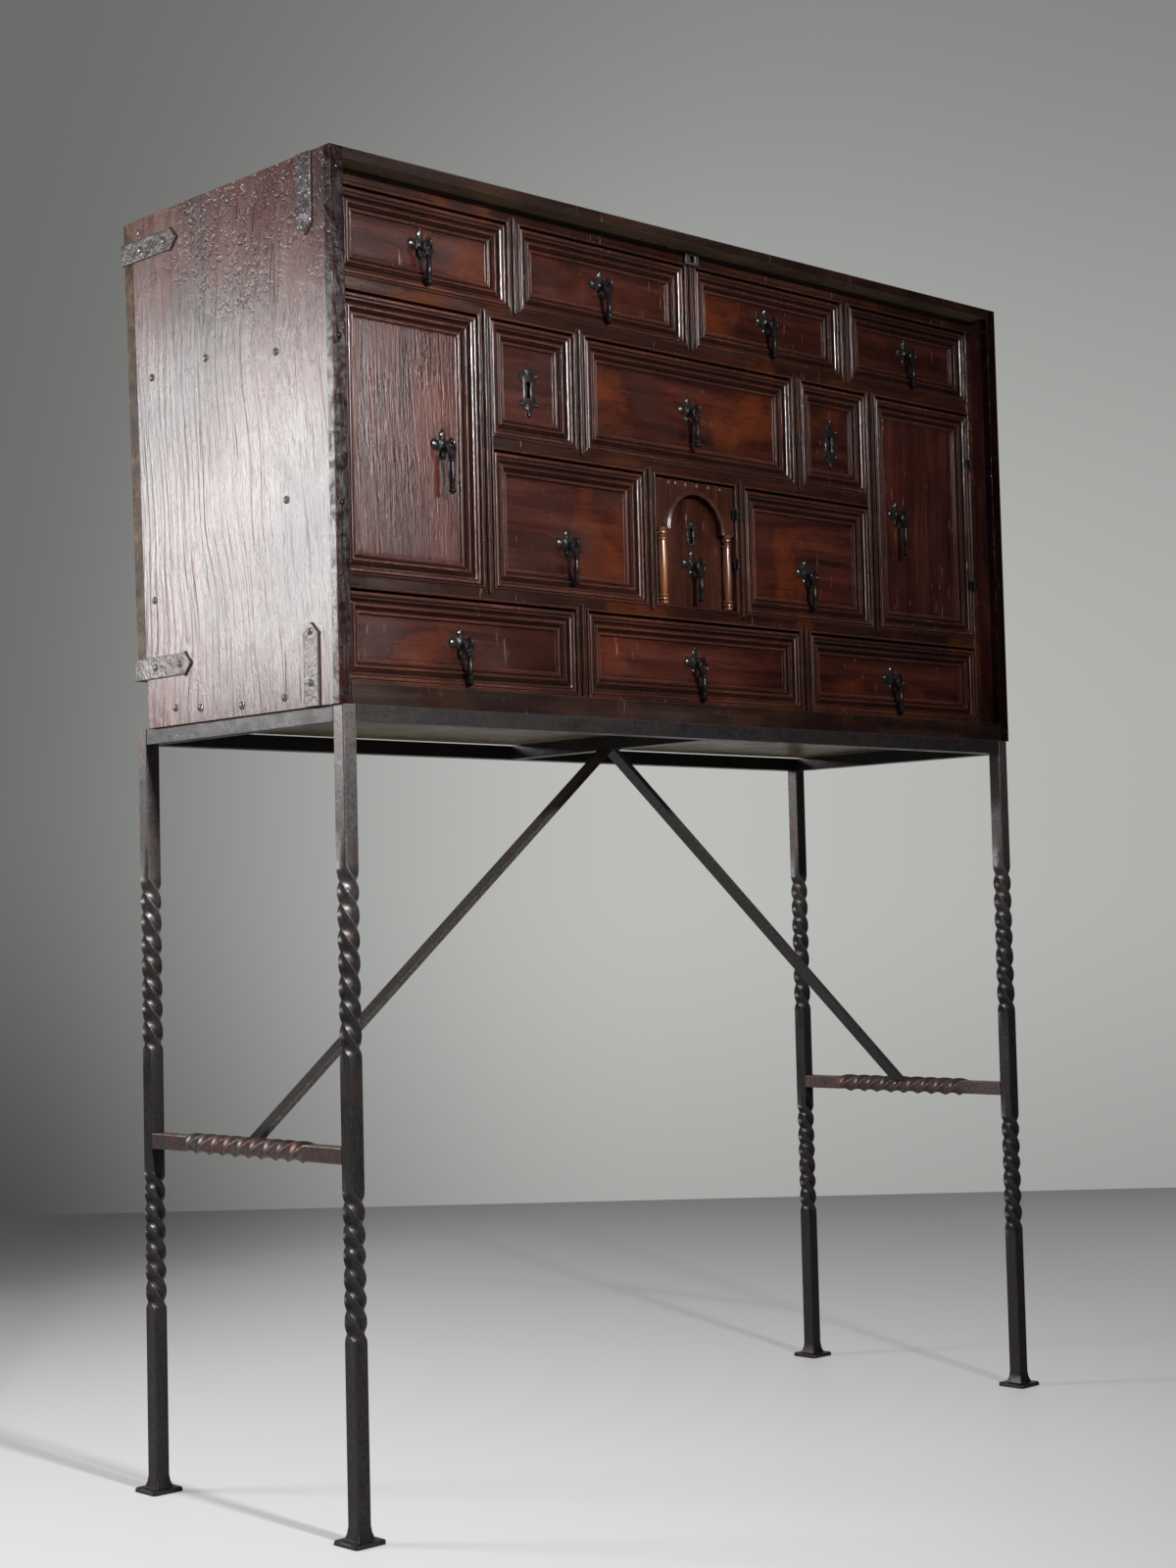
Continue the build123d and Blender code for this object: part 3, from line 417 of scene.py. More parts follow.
def walnut(name, tones, axis, gloss, relief, glow=None, glow_amount=0.0, waves=0.05, framed=False, grit=0.35,
           rub=0.35, dirt=0.85, cracks=0.0, ripple=0.0, smoke=0.62, shine=0.5, patchy=0.0, pits=0.0):
    """Waxed walnut. tones are dark, middle and light; gloss is the lowest and highest roughness."""
    material, tree, shader = start_material(name)
    place = place_of(tree)
    if framed:
        grain, sloping = member_grain(tree, place, axis, waves)
        beads = planed_beads(tree, place)
        crest = math(tree, "MAXIMUM", minus(tree, 1.0, sloping), ramp(tree, beads, [(0.0, 0.0), (0.5, 1.0)]))
    else:
        grain = grain_vector(tree, place, axis, waves)
    streaks = noise_of(tree, grain, 1.0, 8.0, 0.62, 0.3)
    pores = noise_of(tree, grain, 7.0, 3.0, 0.6)
    crack = open_cracks(tree, place, grain, cracks)
    scratch = slanting_scratches(tree, place)
    openness = corner_share(tree, 14 * MM)
    edge, rounded = worn_and_glinting_edge(tree, SOFT_EDGE, 0.90, 0.995)
    pale = tuple(min(1.0, 3.2 * tone + 0.05) for tone in tones[2])

    colour = streaked(tree, place, streaks, tones, smoke, glow, glow_amount)
    if framed:
        colour = blend_colours(tree, sloping, colour, blend_colours(tree, 0.55, colour, MOULDING_BROWN))
        # dirt and painted shade: the hollows between the beads are darkened
        colour = tint(tree, colour, crest, 0.55)
    colour = tint(tree, colour, ramp(tree, pores, [(0.34, 0.45), (0.46, 1.0)]), 0.7)
    colour = blend_colours(tree, crack, colour, CRACK_BLACK)
    colour = blend_colours(tree, times(tree, scratch, 0.5), colour, pale)
    # painted shade: occlusion darkens corners and gaps, together with dirt
    colour = tint(tree, colour, ramp(tree, openness, [(0.42, 1.0 - dirt), (0.95, 1.0)]))
    # edges painted paler: wear and painted highlight
    colour = blend_colours(tree, times(tree, edge, streaks, rub * 2), colour, pale)
    tree.links.new(colour, shader.inputs["Base Color"])

    wax = ramp(tree, openness, [(0.55, 0.06), (0.92, shine)])
    if framed:
        wax = times(tree, wax, crest, plus(tree, 1.0, times(tree, sloping, 1.4)))
    if patchy:
        wax = times(tree, wax, patches(tree, place, 8.0, [(0.36, 1.0 - patchy), (0.56, 1.0)], 4.0, 0.6))
    tree.links.new(wax, shader.inputs["Specular IOR Level"])
    polish = change(tree, noise_of(tree, place, 16.0, 2.0, 0.5), 0.3, 0.7, *gloss)
    tree.links.new(plus(tree, polish, times(tree, scratch, 0.25)), shader.inputs["Roughness"])
    shader.inputs["Coat Weight"].default_value = 0.0 if framed else 0.08
    shader.inputs["Coat Roughness"].default_value = 0.2

    fine = noise_of(tree, place, 320.0, 2.0, 0.5)
    dents = noise_of(tree, place, 70.0, 3.0)
    height = plus(tree, times(tree, streaks, 0.28 if framed else 0.5), times(tree, pores, 0.35),
                  times(tree, fine, grit), times(tree, dents, grit * 1.6))
    if ripple:
        wide = scaled(tree, grain, (1.7, 1.7, 0.9))
        height = plus(tree, height, times(tree, noise_of(tree, wide, 1.0, 1.0, 0.5, 0.4), ripple))
    if pits:
        height = minus(tree, height, pits_high_up(tree, place, pits))
    height = minus(tree, minus(tree, height, times(tree, scratch, 0.3)), times(tree, crack, 0.8))
    if framed:
        height = plus(tree, height, times(tree, beads, sloping, 1.2))
        rounded = node(tree, "Bevel", {"samples": 6}, Radius=2.5 * MM).outputs[0]
    bump = node(tree, "Bump", Strength=relief, Distance=RELIEF_DEPTH, Height=height, Normal=rounded)
    tree.links.new(bump.outputs[0], shader.inputs["Normal"])
    return material


print("walnut recipe ready")

# %% [markdown]
# ### The wooden finishes
# The outer boards are grey-brown and dull red under the wax, the fronts are a deep glossy red with
# orange where the polish is thin, and their mouldings are browner. The inner boards and the back were
# never waxed.

# %% Wooden finishes
side_walnut = walnut("side_walnut", [(0.085, 0.021, 0.016), (0.190, 0.058, 0.045), (0.30, 0.125, 0.100)], "Z",
                     (0.24, 0.30), 0.70, glow=(0.17, 0.030, 0.022), glow_amount=0.8, waves=0.12, grit=0.12,
                     cracks=0.6, ripple=1.1, smoke=0.33, patchy=0.28, pits=0.7)
board_walnut = walnut("board_walnut", [(0.006, 0.003, 0.003), (0.018, 0.009, 0.007), (0.040, 0.022, 0.017)],
                      "X", (0.24, 0.40), 0.45, glow=(0.06, 0.018, 0.010), glow_amount=0.6, grit=0.2, dirt=0.6,
                      shine=0.2)
front_red = walnut("front_red", [(0.013, 0.004, 0.003), (0.043, 0.010, 0.0065), (0.080, 0.022, 0.013)], "X",
                   (0.20, 0.32), 0.40, glow=(0.14, 0.028, 0.007), glow_amount=0.75, framed=True, grit=0.10)
door_red = walnut("door_red", [(0.020, 0.006, 0.005), (0.058, 0.014, 0.010), (0.10, 0.034, 0.024)], "Z",
                  (0.15, 0.29), 0.75, glow=(0.13, 0.028, 0.012), glow_amount=0.5, framed=True, grit=0.12,
                  shine=0.7)
arch_brown = walnut("arch_brown", [(0.015, 0.0048, 0.0032), (0.042, 0.0118, 0.0070), (0.075, 0.025, 0.0135)],
                    "Z", (0.18, 0.30), 0.55, glow=(0.09, 0.024, 0.010), glow_amount=0.4, grit=0.12)
rail_brown = walnut("rail_brown", [(0.010, 0.0035, 0.0028), (0.028, 0.0085, 0.0055), (0.060, 0.022, 0.012)],
                    "X", (0.16, 0.26), 0.42, glow=(0.13, 0.034, 0.008), glow_amount=0.6, framed=True,
                    grit=0.10, waves=0.01)
raw_board = walnut("raw_board", [(0.040, 0.022, 0.013), (0.170, 0.105, 0.062), (0.330, 0.230, 0.145)], "X",
                   (0.70, 0.90), 0.90, grit=1.2, rub=0.1, waves=0.015)
print("seven wooden finishes")

# %% [markdown]
# ### The lipping of the side boards
# Some finishes change within a board. The side boards carry a thin lipping along the front edge, with
# a dark joint behind it. It could be a piece of its own, but it is flush with the board, so a change of
# colour shows it. `rework` takes what feeds a socket, passes it through one more step and links it back.

# %% Lipping
LIPPING = 10 * MM                # width of the lipping on the side boards
JOINT = 1.4 * MM                 # half the width of the dark line behind it
LIPPING_TONE = (0.20, 0.16, 0.16)
LIPPING_INSIDE = (0.30, 0.27, 0.27)
JOINT_BLACK = (0.004, 0.003, 0.003)
OUTER_SKIN = 2 * MM              # deeper in the board than this is its inner face


def rework(material, socket_name, step):
    """Pass what feeds a socket of the shader through one more step."""
    socket = material.node_tree.nodes["Principled BSDF"].inputs[socket_name]
    material.node_tree.links.new(step(socket.links[0].from_socket), socket)


def lipped(material, joint_y, outer_x):
    """Browner lipping in front of a dark joint, darker on its inner face, with flaking wax."""
    tree = material.node_tree
    place = place_of(tree)
    y = axis_of(tree, place, "Y")
    away = math(tree, "ABSOLUTE", minus(tree, y, joint_y))
    line = ramp(tree, math(tree, "DIVIDE", away, JOINT), [(0.55, 1.0), (1.0, 0.0)])
    lipping = math(tree, "LESS_THAN", y, joint_y)
    inside = math(tree, "LESS_THAN", math(tree, "ABSOLUTE", axis_of(tree, place, "X")), outer_x - OUTER_SKIN)
    flaked = patches(tree, place, 75.0, [(0.40, 0.10), (0.60, 1.0)], 4.0, 0.7, 0.6)
    kept = minus(tree, 1.0, times(tree, lipping, minus(tree, 1.0, flaked)))

    def colour(board):
        browner = tint(tree, tint(tree, board, LIPPING_TONE, lipping), LIPPING_INSIDE, inside)
        return blend_colours(tree, line, browner, JOINT_BLACK)

    rework(material, "Base Color", colour)
    rework(material, "Specular IOR Level", lambda level: times(tree, level, kept))


lipped(side_walnut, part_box("case_side_left")[0].y + LIPPING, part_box("case_side_right")[1].x)
print("lipping painted on the side boards")

# %% [markdown]
# ### Bare wood
# Nobody waxes what nobody sees: the bottom is bare below, and so are the drawers behind their fronts.
# The direction of a face finds the underside, and its depth in the cabinet finds the drawer boxes.

# %% Bare wood
FRONT_BOARD = 21 * MM            # depth of a drawer's front with its mouldings


def raw_below(material, tone):
    """Unwaxed wood on the faces that look down."""
    tree = material.node_tree
    normal = tree.nodes.new("ShaderNodeTexCoord").outputs["Normal"]
    down = math(tree, "LESS_THAN", axis_of(tree, normal, "Z"), -0.7)
    dusty = tint(tree, tone, patches(tree, place_of(tree), 9.0, [(0.3, 0.45), (0.7, 1.2)], 5.0, 0.6))
    rework(material, "Base Color", lambda above: blend_colours(tree, down, above, dusty))


def raw_behind(material, depth, tone, shine=0.15):
    """Unwaxed wood on the sides, backs and bottoms behind the waxed front boards."""
    tree = material.node_tree
    place = place_of(tree)
    behind = math(tree, "GREATER_THAN", axis_of(tree, place, "Y"), depth)
    lined = patches(tree, scaled(tree, place, (90, 4, 90)), 1.0, [(0.30, 0.45), (0.70, 1.30)], 5.0)
    wood = tint(tree, tone, lined)
    rework(material, "Base Color", lambda front: blend_colours(tree, behind, front, wood))
    rework(material, "Specular IOR Level",
           lambda front: minus(tree, front, times(tree, behind, minus(tree, front, shine))))


raw_below(board_walnut, (0.24, 0.175, 0.105))
raw_behind(front_red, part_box("drawer_a1")[0].y + FRONT_BOARD, (0.20, 0.115, 0.062))
print("underside and drawer boxes are bare")

# %% [markdown]
# Each wooden node gets its finish in its own material slot. The twelve drawers share one finish.

# %% Paint the wood
def paint(name, finish):
    """Give a node of the frame one finish."""
    slots = frame["nodes"][name].data.materials
    slots.clear()
    slots.append(finish)


for name, finish in {"case_side_left": side_walnut, "case_side_right": side_walnut, "case_top": board_walnut,
                     "case_bottom": board_walnut, "case_back": raw_board, "inner_boards": raw_board,
                     "facade_mouldings": rail_brown, "door_left": door_red, "door_right": door_red,
                     "arch_door": arch_brown, "arch_columns": rail_brown}.items():
    paint(name, finish)
for name in frame["nodes"]:
    if name.startswith("drawer_"):
        paint(name, front_red)
print("wooden nodes painted")

# %% [markdown]
# ## Wrought iron
# The iron is blacked and rubbed: dark and half metallic, with hammer marks as slow dents and a fine
# grain over them. Red-brown rust shows where the black has worn thin, and the edges are painted bright,
# as rubbed wear and painted highlight.

# %% Iron recipe
HAMMER_DEPTH = 1.5 * MM


def wrought_iron(name, black, rust, rust_amount, gloss, relief=0.5, grain=1.0, metal=0.5, rub=0.5,
                 shine=0.5, corner=1.1 * MM):
    """Blackened hammered iron with rust coming through, and edges painted bright as wear and painted
    highlight.
    """
    material, tree, shader = start_material(name)
    place = place_of(tree)
    cloud = noise_of(tree, place, 26.0, 5.0, 0.65)
    speck = noise_of(tree, place, 240.0 * grain, 3.0, 0.6)
    edge, rounded = worn_and_glinting_edge(tree, corner, 0.88, 0.99)
    bright = tuple(min(1.0, 2.6 * tone + 0.03) for tone in black)

    colour = tint(tree, black, ramp(tree, speck, [(0.3, 0.55), (0.7, 1.35)]))
    rusty = times(tree, ramp(tree, cloud, [(0.46, 0.0), (0.70, 1.0)]), rust_amount)
    colour = blend_colours(tree, rusty, colour, rust)
    # edges painted bright: rubbed wear and painted highlight
    colour = blend_colours(tree, times(tree, edge, rub), colour, bright)
    tree.links.new(colour, shader.inputs["Base Color"])
    tree.links.new(change(tree, cloud, 0.3, 0.7, *gloss), shader.inputs["Roughness"])
    shader.inputs["Metallic"].default_value = metal
    shader.inputs["Specular IOR Level"].default_value = shine

    hammered = plus(tree, noise_of(tree, place, 55.0 * grain, 2.0, 0.5), times(tree, speck, 0.35))
    bump = node(tree, "Bump", Strength=relief, Distance=HAMMER_DEPTH, Height=hammered, Normal=rounded)
    tree.links.new(bump.outputs[0], shader.inputs["Normal"])
    return material


def painted_sheen_high(material, low, high, gain):
    """Painted sheen: iron colour brighter from one height up to another, by a factor."""
    tree = material.node_tree
    place = place_of(tree)
    uneven = plus(tree, axis_of(tree, place, "Z"), times(tree, noise_of(tree, place, 34.0, 5.0, 0.7), 0.22))
    amount = change(tree, uneven, low, high)

    def brighter(dull):
        shiny = node(tree, "VectorMath", {"operation": "SCALE"}, i0=dull, Scale=gain).outputs[0]
        return blend_colours(tree, amount, dull, shiny)

    rework(material, "Base Color", brighter)


print("iron recipe ready")

# %% [markdown]
# ### The iron finishes
# The pulls are nearly black and the straps grey. The stretchers are the rustiest. The legs and the top
# frame are painted brighter the higher they are, a painted sheen where the light catches them.

# %% Iron finishes
brace_grey = wrought_iron("brace_grey", (0.070, 0.060, 0.058), (0.065, 0.042, 0.036), 0.5, (0.36, 0.50), 0.12,
                          metal=0.3, rub=0.2)
frame_black = wrought_iron("frame_black", (0.020, 0.018, 0.018), (0.030, 0.018, 0.014), 0.5, (0.26, 0.42),
                           0.25, metal=0.4)
twist_brown = wrought_iron("twist_brown", (0.038, 0.034, 0.034), (0.055, 0.032, 0.027), 0.5, (0.27, 0.44),
                           0.26, rub=0.9)
pull_black = wrought_iron("pull_black", (0.016, 0.016, 0.017), (0.030, 0.016, 0.012), 0.4, (0.16, 0.28), 0.35,
                          2.0, shine=0.25)
stretcher_brown = wrought_iron("stretcher_brown", (0.120, 0.090, 0.084), (0.170, 0.065, 0.050), 0.8,
                               (0.26, 0.40), 0.3, rub=0.9)
rosette_grey = wrought_iron("rosette_grey", (0.085, 0.082, 0.078), (0.050, 0.030, 0.024), 0.4, (0.16, 0.30),
                            0.25, 2.0, metal=0.85)
strap_grey = wrought_iron("strap_grey", (0.075, 0.064, 0.061), (0.080, 0.046, 0.038), 0.5, (0.24, 0.38), 0.80,
                          metal=0.4, rub=0.8, corner=1.8 * MM)
bright_iron = wrought_iron("bright_iron", (0.20, 0.185, 0.18), (0.10, 0.06, 0.05), 0.5, (0.20, 0.34), 0.6,
                           2.0)
# painted sheen: the legs and the top frame are painted brighter towards the top
painted_sheen_high(twist_brown, 0.70, 0.90, 2.6)
painted_sheen_high(frame_black, 0.88, 0.96, 1.5)

for name in frame["nodes"]:
    if name == "stand_braces":
        paint(name, brace_grey)
    elif name.startswith("stand_"):
        paint(name, frame_black)
    elif name == "case_irons":
        paint(name, strap_grey)
    elif name.startswith(("pull_", "rosette_", "lock_", "bolt_", "door_hinge")) or name.endswith("_irons"):
        paint(name, pull_black)
print("iron nodes painted")

# %% [markdown]
# ## Floor
# A plain pale floor. Its far edge is straight and lies square to the viewer, where the grey wall begins,
# and it is painted paler towards the viewer and darker to the left near the wall, as painted light and
# shade. It gives off a little of its own colour, to the camera only, which brightens the floor without one
# more lamp that the iron would mirror.

# %% Floor
WALL_DISTANCE = 5.825          # from the viewer to the foot of the wall
NEAR_DISTANCE = 2.0            # from the viewer to where the floor is palest
FLOOR_SIZE = 9.0
FLOOR_NEAR = (0.80, 0.805, 0.785)
FLOOR_MIDDLE = (0.58, 0.585, 0.57)
FLOOR_FAR = (0.22, 0.22, 0.215)
FLOOR_PAINTED_SHADE = (0.055, 0.055, 0.054)

floor_paint, tree, shader = start_material("floor_paint")
away = scaled(tree, place_of(tree), (1, 1, 1), (0, 0, CAMERA_TURN))
viewer_depth = CAMERA_PLACE.x * sin(CAMERA_TURN) + CAMERA_PLACE.y * cos(CAMERA_TURN)
wall_depth = viewer_depth + WALL_DISTANCE
share = change(tree, axis_of(tree, away, "Y"), viewer_depth + NEAR_DISTANCE, wall_depth)
# painted light: the floor is paler near the viewer and darker towards the wall
tone = ramp(tree, share, [(0.0, FLOOR_NEAR), (0.45, FLOOR_MIDDLE), (1.0, FLOOR_FAR)])
# painted shade: the floor is darker to the left near the wall
to_left = change(tree, axis_of(tree, away, "X"), -0.35, -1.25, how="SMOOTHSTEP")
to_wall = change(tree, share, 0.15, 0.95, how="SMOOTHSTEP")
tone = blend_colours(tree, times(tree, to_left, to_wall, 0.85), tone, FLOOR_PAINTED_SHADE)
ray = tree.nodes.new("ShaderNodeLightPath")
for name, value in (("Base Color", tone), ("Emission Color", tone),
                    ("Emission Strength", times(tree, ray.outputs["Is Camera Ray"], 0.45))):
    tree.links.new(value, shader.inputs[name])
shader.inputs["Roughness"].default_value = 0.5
shader.inputs["Specular IOR Level"].default_value = 0.3

bpy.ops.object.select_all(action="DESELECT")
bpy.ops.mesh.primitive_plane_add(size=FLOOR_SIZE, location=(0, 0, 0))
floor = bpy.context.object
floor.name = "floor"
shift = wall_depth - FLOOR_SIZE / 2
floor.rotation_euler = (0, 0, -CAMERA_TURN)
floor.location = (shift * sin(CAMERA_TURN), shift * cos(CAMERA_TURN), 0)
bpy.ops.object.transform_apply(location=True, rotation=True, scale=True)
floor.data.materials.append(floor_paint)
print("floor", FLOOR_SIZE, "m square")

# %% [markdown]
# ## Shaping helpers
# Every new piece starts as a primitive. In edit mode its end face is pushed out again and again, and
# scaled or turned at each step, which is how a smith draws out a bar and how a turner shapes a column.
# Lathe and twist modifiers could do some of it, but steps like these can flare, swell and turn at once.

# %% Shaping helpers
def begin(add, **how):
    """Add a primitive with nothing else selected, and open it in edit mode with all of it selected."""
    bpy.ops.object.select_all(action="DESELECT")
    add(**how)
    bpy.ops.object.mode_set(mode="EDIT")
    bpy.ops.mesh.select_all(action="SELECT")
    return bpy.context.object


def pick(piece):
    """Select one object alone and make it the active one."""
    bpy.ops.object.select_all(action="DESELECT")
    piece.select_set(True)
    bpy.context.view_layer.objects.active = piece


def push(step, scale=1.0, turn=0.0, level=0.0):
    """Extrude the selected end upwards, then scale it and turn it about the Z axis at its new level."""
    bpy.ops.mesh.extrude_region_move(TRANSFORM_OT_translate={"value": (0, 0, step)})
    if scale != 1.0:
        bpy.ops.transform.resize(value=(scale, scale, 1), center_override=(0, 0, level))
    if turn:
        bpy.ops.transform.rotate(value=turn, orient_axis="Z", center_override=(0, 0, level))


print("shaping helpers ready")

# %% [markdown]
# A finished piece is settled: its place, turn and scale go into its points, so that its own origin stays
# at the world's and it can ride its body. A pattern is copied with a mesh of its own, and small parts
# are joined into the one piece that the smith would hold in the hand.

# %% Finished pieces
def settle(piece, name, finish, smooth=35, **placing):
    """Leave edit mode, put place and turn into the points, and give the name, finish and shading.

    placing holds a location, rotation_euler or scale that the finished shape still has to get."""
    if bpy.context.mode != "OBJECT":
        bpy.ops.mesh.select_all(action="SELECT")
        bpy.ops.mesh.normals_make_consistent(inside=False)
        bpy.ops.object.mode_set(mode="OBJECT")
    pick(piece)
    bpy.ops.object.transform_apply(location=True, rotation=True, scale=True)
    for key, value in placing.items():
        setattr(piece, key, value)
    bpy.ops.object.transform_apply(location=True, rotation=True, scale=True)
    bpy.ops.object.shade_smooth_by_angle(angle=radians(smooth))
    piece.name = name
    piece.data.materials.clear()
    piece.data.materials.append(finish)
    return piece


def copy_of(piece, name, move=(0, 0, 0), turn=0.0):
    """Copy with a mesh of its own, turned about Z and moved."""
    pick(piece)
    bpy.ops.object.duplicate(linked=False)
    twin = bpy.context.object
    twin.rotation_euler = (0, 0, turn)
    twin.location = move
    bpy.ops.object.transform_apply(location=True, rotation=True, scale=True)
    twin.name = name
    return twin


def join(name, pieces):
    """One piece out of several."""
    pick(pieces[0])
    for piece in pieces[1:]:
        piece.select_set(True)
    bpy.ops.object.join()
    pieces[0].name = name
    return pieces[0]


print("settle, copy and join ready")

# %% [markdown]
# Three first shapes come back all over the ironwork: a round piece turned from a profile, a flattened
# ball, and a block.

# %% First shapes
def turned(profile, flats):
    """Round piece standing on Z, from (radius, height) pairs; it stays open in edit mode."""
    radius, height = profile[0]
    piece = begin(bpy.ops.mesh.primitive_circle_add, vertices=flats, radius=radius, fill_type="NGON",
                  location=(0, 0, 0))
    bpy.ops.transform.translate(value=(0, 0, height))
    for wider, higher in profile[1:]:
        push(higher - height, wider / radius, level=higher)
        radius, height = wider, higher
    return piece


def ball(name, place, size, finish, segments=20, rings=10):
    """Flattened ball at a place; size gives its three half widths."""
    piece = begin(bpy.ops.mesh.primitive_uv_sphere_add, segments=segments, ring_count=rings, radius=1,
                  location=(0, 0, 0))
    bpy.ops.transform.resize(value=size, center_override=(0, 0, 0))
    bpy.ops.transform.translate(value=place)
    return settle(piece, name, finish, 60)


def block(name, middle, size, finish, rim=0.0):
    """Block about its middle, with bevelled edges if a rim is given."""
    piece = begin(bpy.ops.mesh.primitive_cube_add, size=1, location=(0, 0, 0))
    bpy.ops.transform.resize(value=size, center_override=(0, 0, 0))
    bpy.ops.transform.translate(value=middle)
    if rim:
        bpy.ops.mesh.bevel(offset=rim, affect="EDGES", segments=2)
    return settle(piece, name, finish)


print("first shapes ready")

# %% [markdown]
# ## The twisted stand
# Each leg is one square bar. The smith heated two stretches of it and turned them in a vice, so the
# corners wind round as ridges. We draw a rounded square section upwards in short steps and turn it at
# each step, which gives true helical ridges; the steps vary a little, as a twist made by eye does. The
# foot is the bar's own end, beaten out flat.

# %% Twisted bars
STEPS_PER_QUARTER = 9
UNEVEN_TURN = 0.10           # share by which a twist made by eye runs fast or slow
UNEVEN_GIRTH = 0.012         # share by which the twisted bar swells and shrinks


def twist_span(start, end, quarters):
    """Draw the open end up through a twisted stretch, whose ridges climb to the left."""
    steps = quarters * STEPS_PER_QUARTER
    length = (end - start) / steps
    for step in range(steps):
        pace = 1 + UNEVEN_TURN * sin(0.31 * step + start * 40)
        swell = 1 + UNEVEN_GIRTH * sin(2.3 * step + 1)
        push(length, swell, pi / 2 / STEPS_PER_QUARTER * pace, start + length * (step + 1))
        bpy.ops.transform.resize(value=(1 / swell, 1 / swell, 1), center_override=(0, 0, 0))


def plain_span(start, end, cuts=4):
    """Draw the open end up through a straight stretch."""
    for step in range(cuts):
        push((end - start) / cuts)


def section(side, corner=0.05):
    """Square section with softened corners and points along its sides, open in edit mode at z = 0."""
    piece = begin(bpy.ops.mesh.primitive_plane_add, size=side, location=(0, 0, 0))
    bpy.ops.mesh.bevel(offset=side * corner, affect="VERTICES", segments=1)
    bpy.ops.mesh.subdivide(number_cuts=2)
    return piece


print("bar helpers ready")

# %% [markdown]
# The leg begins with its foot: a thin square plate with a softened rim, above which the bar is drawn in
# to its own width. Then plain and twisted stretches follow each other up to the top frame.

# %% One leg
FOOT = 41 * MM
FOOT_THICKNESS = 5 * MM
FOOT_RIM = 0.95              # width of the plate's upper face, as a share of the foot
FOOT_FLARE = 25 * MM         # width where the bar leaves the plate
FOOT_STEP = 0.4 * MM         # rise of the step from the plate in to the flare
FOOT_TOP = 19 * MM
DRAWN_IN = 0.80              # width halfway up the flare, as a share of it
LOWER_TWIST = (211 * MM, 371 * MM, 7)
UPPER_TWIST = (512 * MM, 716 * MM, 8)

frame_low, frame_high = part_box("stand_top_frame")
BAR = frame_high.z - frame_low.z
LEG_X = frame_high.x - BAR / 2
LEG_Y = frame_high.y - BAR / 2

leg = section(FOOT, 0.06)
flare = (FOOT_TOP - FOOT_THICKNESS) / 2
push(FOOT_THICKNESS * 0.75)
push(FOOT_THICKNESS * 0.25, FOOT_RIM, level=FOOT_THICKNESS)
push(FOOT_STEP, FOOT_FLARE / FOOT / FOOT_RIM, level=FOOT_THICKNESS)
push(flare, DRAWN_IN, level=FOOT_THICKNESS + flare)
push(flare, BAR / FOOT_FLARE / DRAWN_IN, level=FOOT_TOP)
height = FOOT_TOP + FOOT_STEP
for start, end, quarters in (LOWER_TWIST, UPPER_TWIST):
    plain_span(height, start)
    twist_span(start, end, quarters)
    height = end
plain_span(height, frame_high.z)
settle(leg, "leg_1", twist_brown)
print("leg:", len(leg.data.polygons), "faces")

# %% [markdown]
# The four legs share one drawing: all the bars were turned the same way. Each copy gets its own mesh
# and stands at its corner. Both stretchers are drawn upright too and then laid between the legs.

# %% Legs and stretchers
legs = [leg]
for number, (x, y) in enumerate(((LEG_X, LEG_Y), (LEG_X, -LEG_Y), (-LEG_X, LEG_Y)), 2):
    legs.append(copy_of(leg, f"leg_{number}", (x, y, 0)))
settle(leg, "leg_1", twist_brown, location=(-LEG_X, -LEG_Y, 0))
for piece in legs:
    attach(piece, "cabinet")
    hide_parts("stand_legs")

STRETCHER_LENGTH = 2 * LEG_Y - BAR
STRETCHER_LEVEL = 407 * MM
STRETCHER_TWIST = 225 * MM
STRETCHER_QUARTERS = 9
start = (STRETCHER_LENGTH - STRETCHER_TWIST) / 2
stretcher = section(BAR)
plain_span(0, start)
twist_span(start, start + STRETCHER_TWIST, STRETCHER_QUARTERS)
plain_span(start + STRETCHER_TWIST, STRETCHER_LENGTH)
settle(stretcher, "stretcher_right", stretcher_brown, rotation_euler=(radians(90), 0, 0),
       location=(LEG_X, STRETCHER_LENGTH / 2, STRETCHER_LEVEL))
for piece in (stretcher, copy_of(stretcher, "stretcher_left", turn=pi)):
    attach(piece, "cabinet")
    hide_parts("stand_stretchers")
print("stand:", len(legs), "legs and 2 stretchers")

# %% [markdown]
# ## Drop pulls
# A pull is a small forging: a ring that hangs in the staple, two collars, a shaft that swells a little,
# and a ball at the end. The ring is a torus drawn out to an oval, and the rest is turned.
# The pulls of the tall doors are longer. Each pull is placed at the pivot of its own joint.

# %% Pull shapes
RING_WIDTH = 16 * MM
RING_HEIGHT = 17 * MM
RING_BAR = 4 * MM
FULL = 4.6 * MM              # radius of the collars and of the end ball
NECK = 2.7 * MM              # radius where the shaft is thinnest
BELLY = 3.9 * MM             # radius where it is thickest
# (radius, drop in millimetres) from the ring down, and again from the end of the shaft down
COLLARS = [(NECK, 0), (FULL * 0.8, 1.2), (FULL, 2.4), (FULL * 0.8, 3.6), (NECK, 4.6), (FULL * 0.85, 5.6),
           (FULL * 0.9, 6.6), (NECK, 8.0)]
COLLARS_END = COLLARS[-1][1]
OVERLAP = 1.2 * MM           # the stem begins this far inside the ring's bar
SWELLING = [(0.85, 0.25), (1.0, 0.55), (0.9, 0.8)]       # shares of the belly and of the shaft's length
END_BALL = [(NECK, 0), (FULL * 0.8, 1.0), (FULL * 0.8, 2.0), (NECK, 3.2), (FULL * 0.85, 4.6), (FULL, 6.4),
            (FULL * 0.85, 8.2), (NECK * 0.8, 9.6), (0.5 * MM, 10.6)]


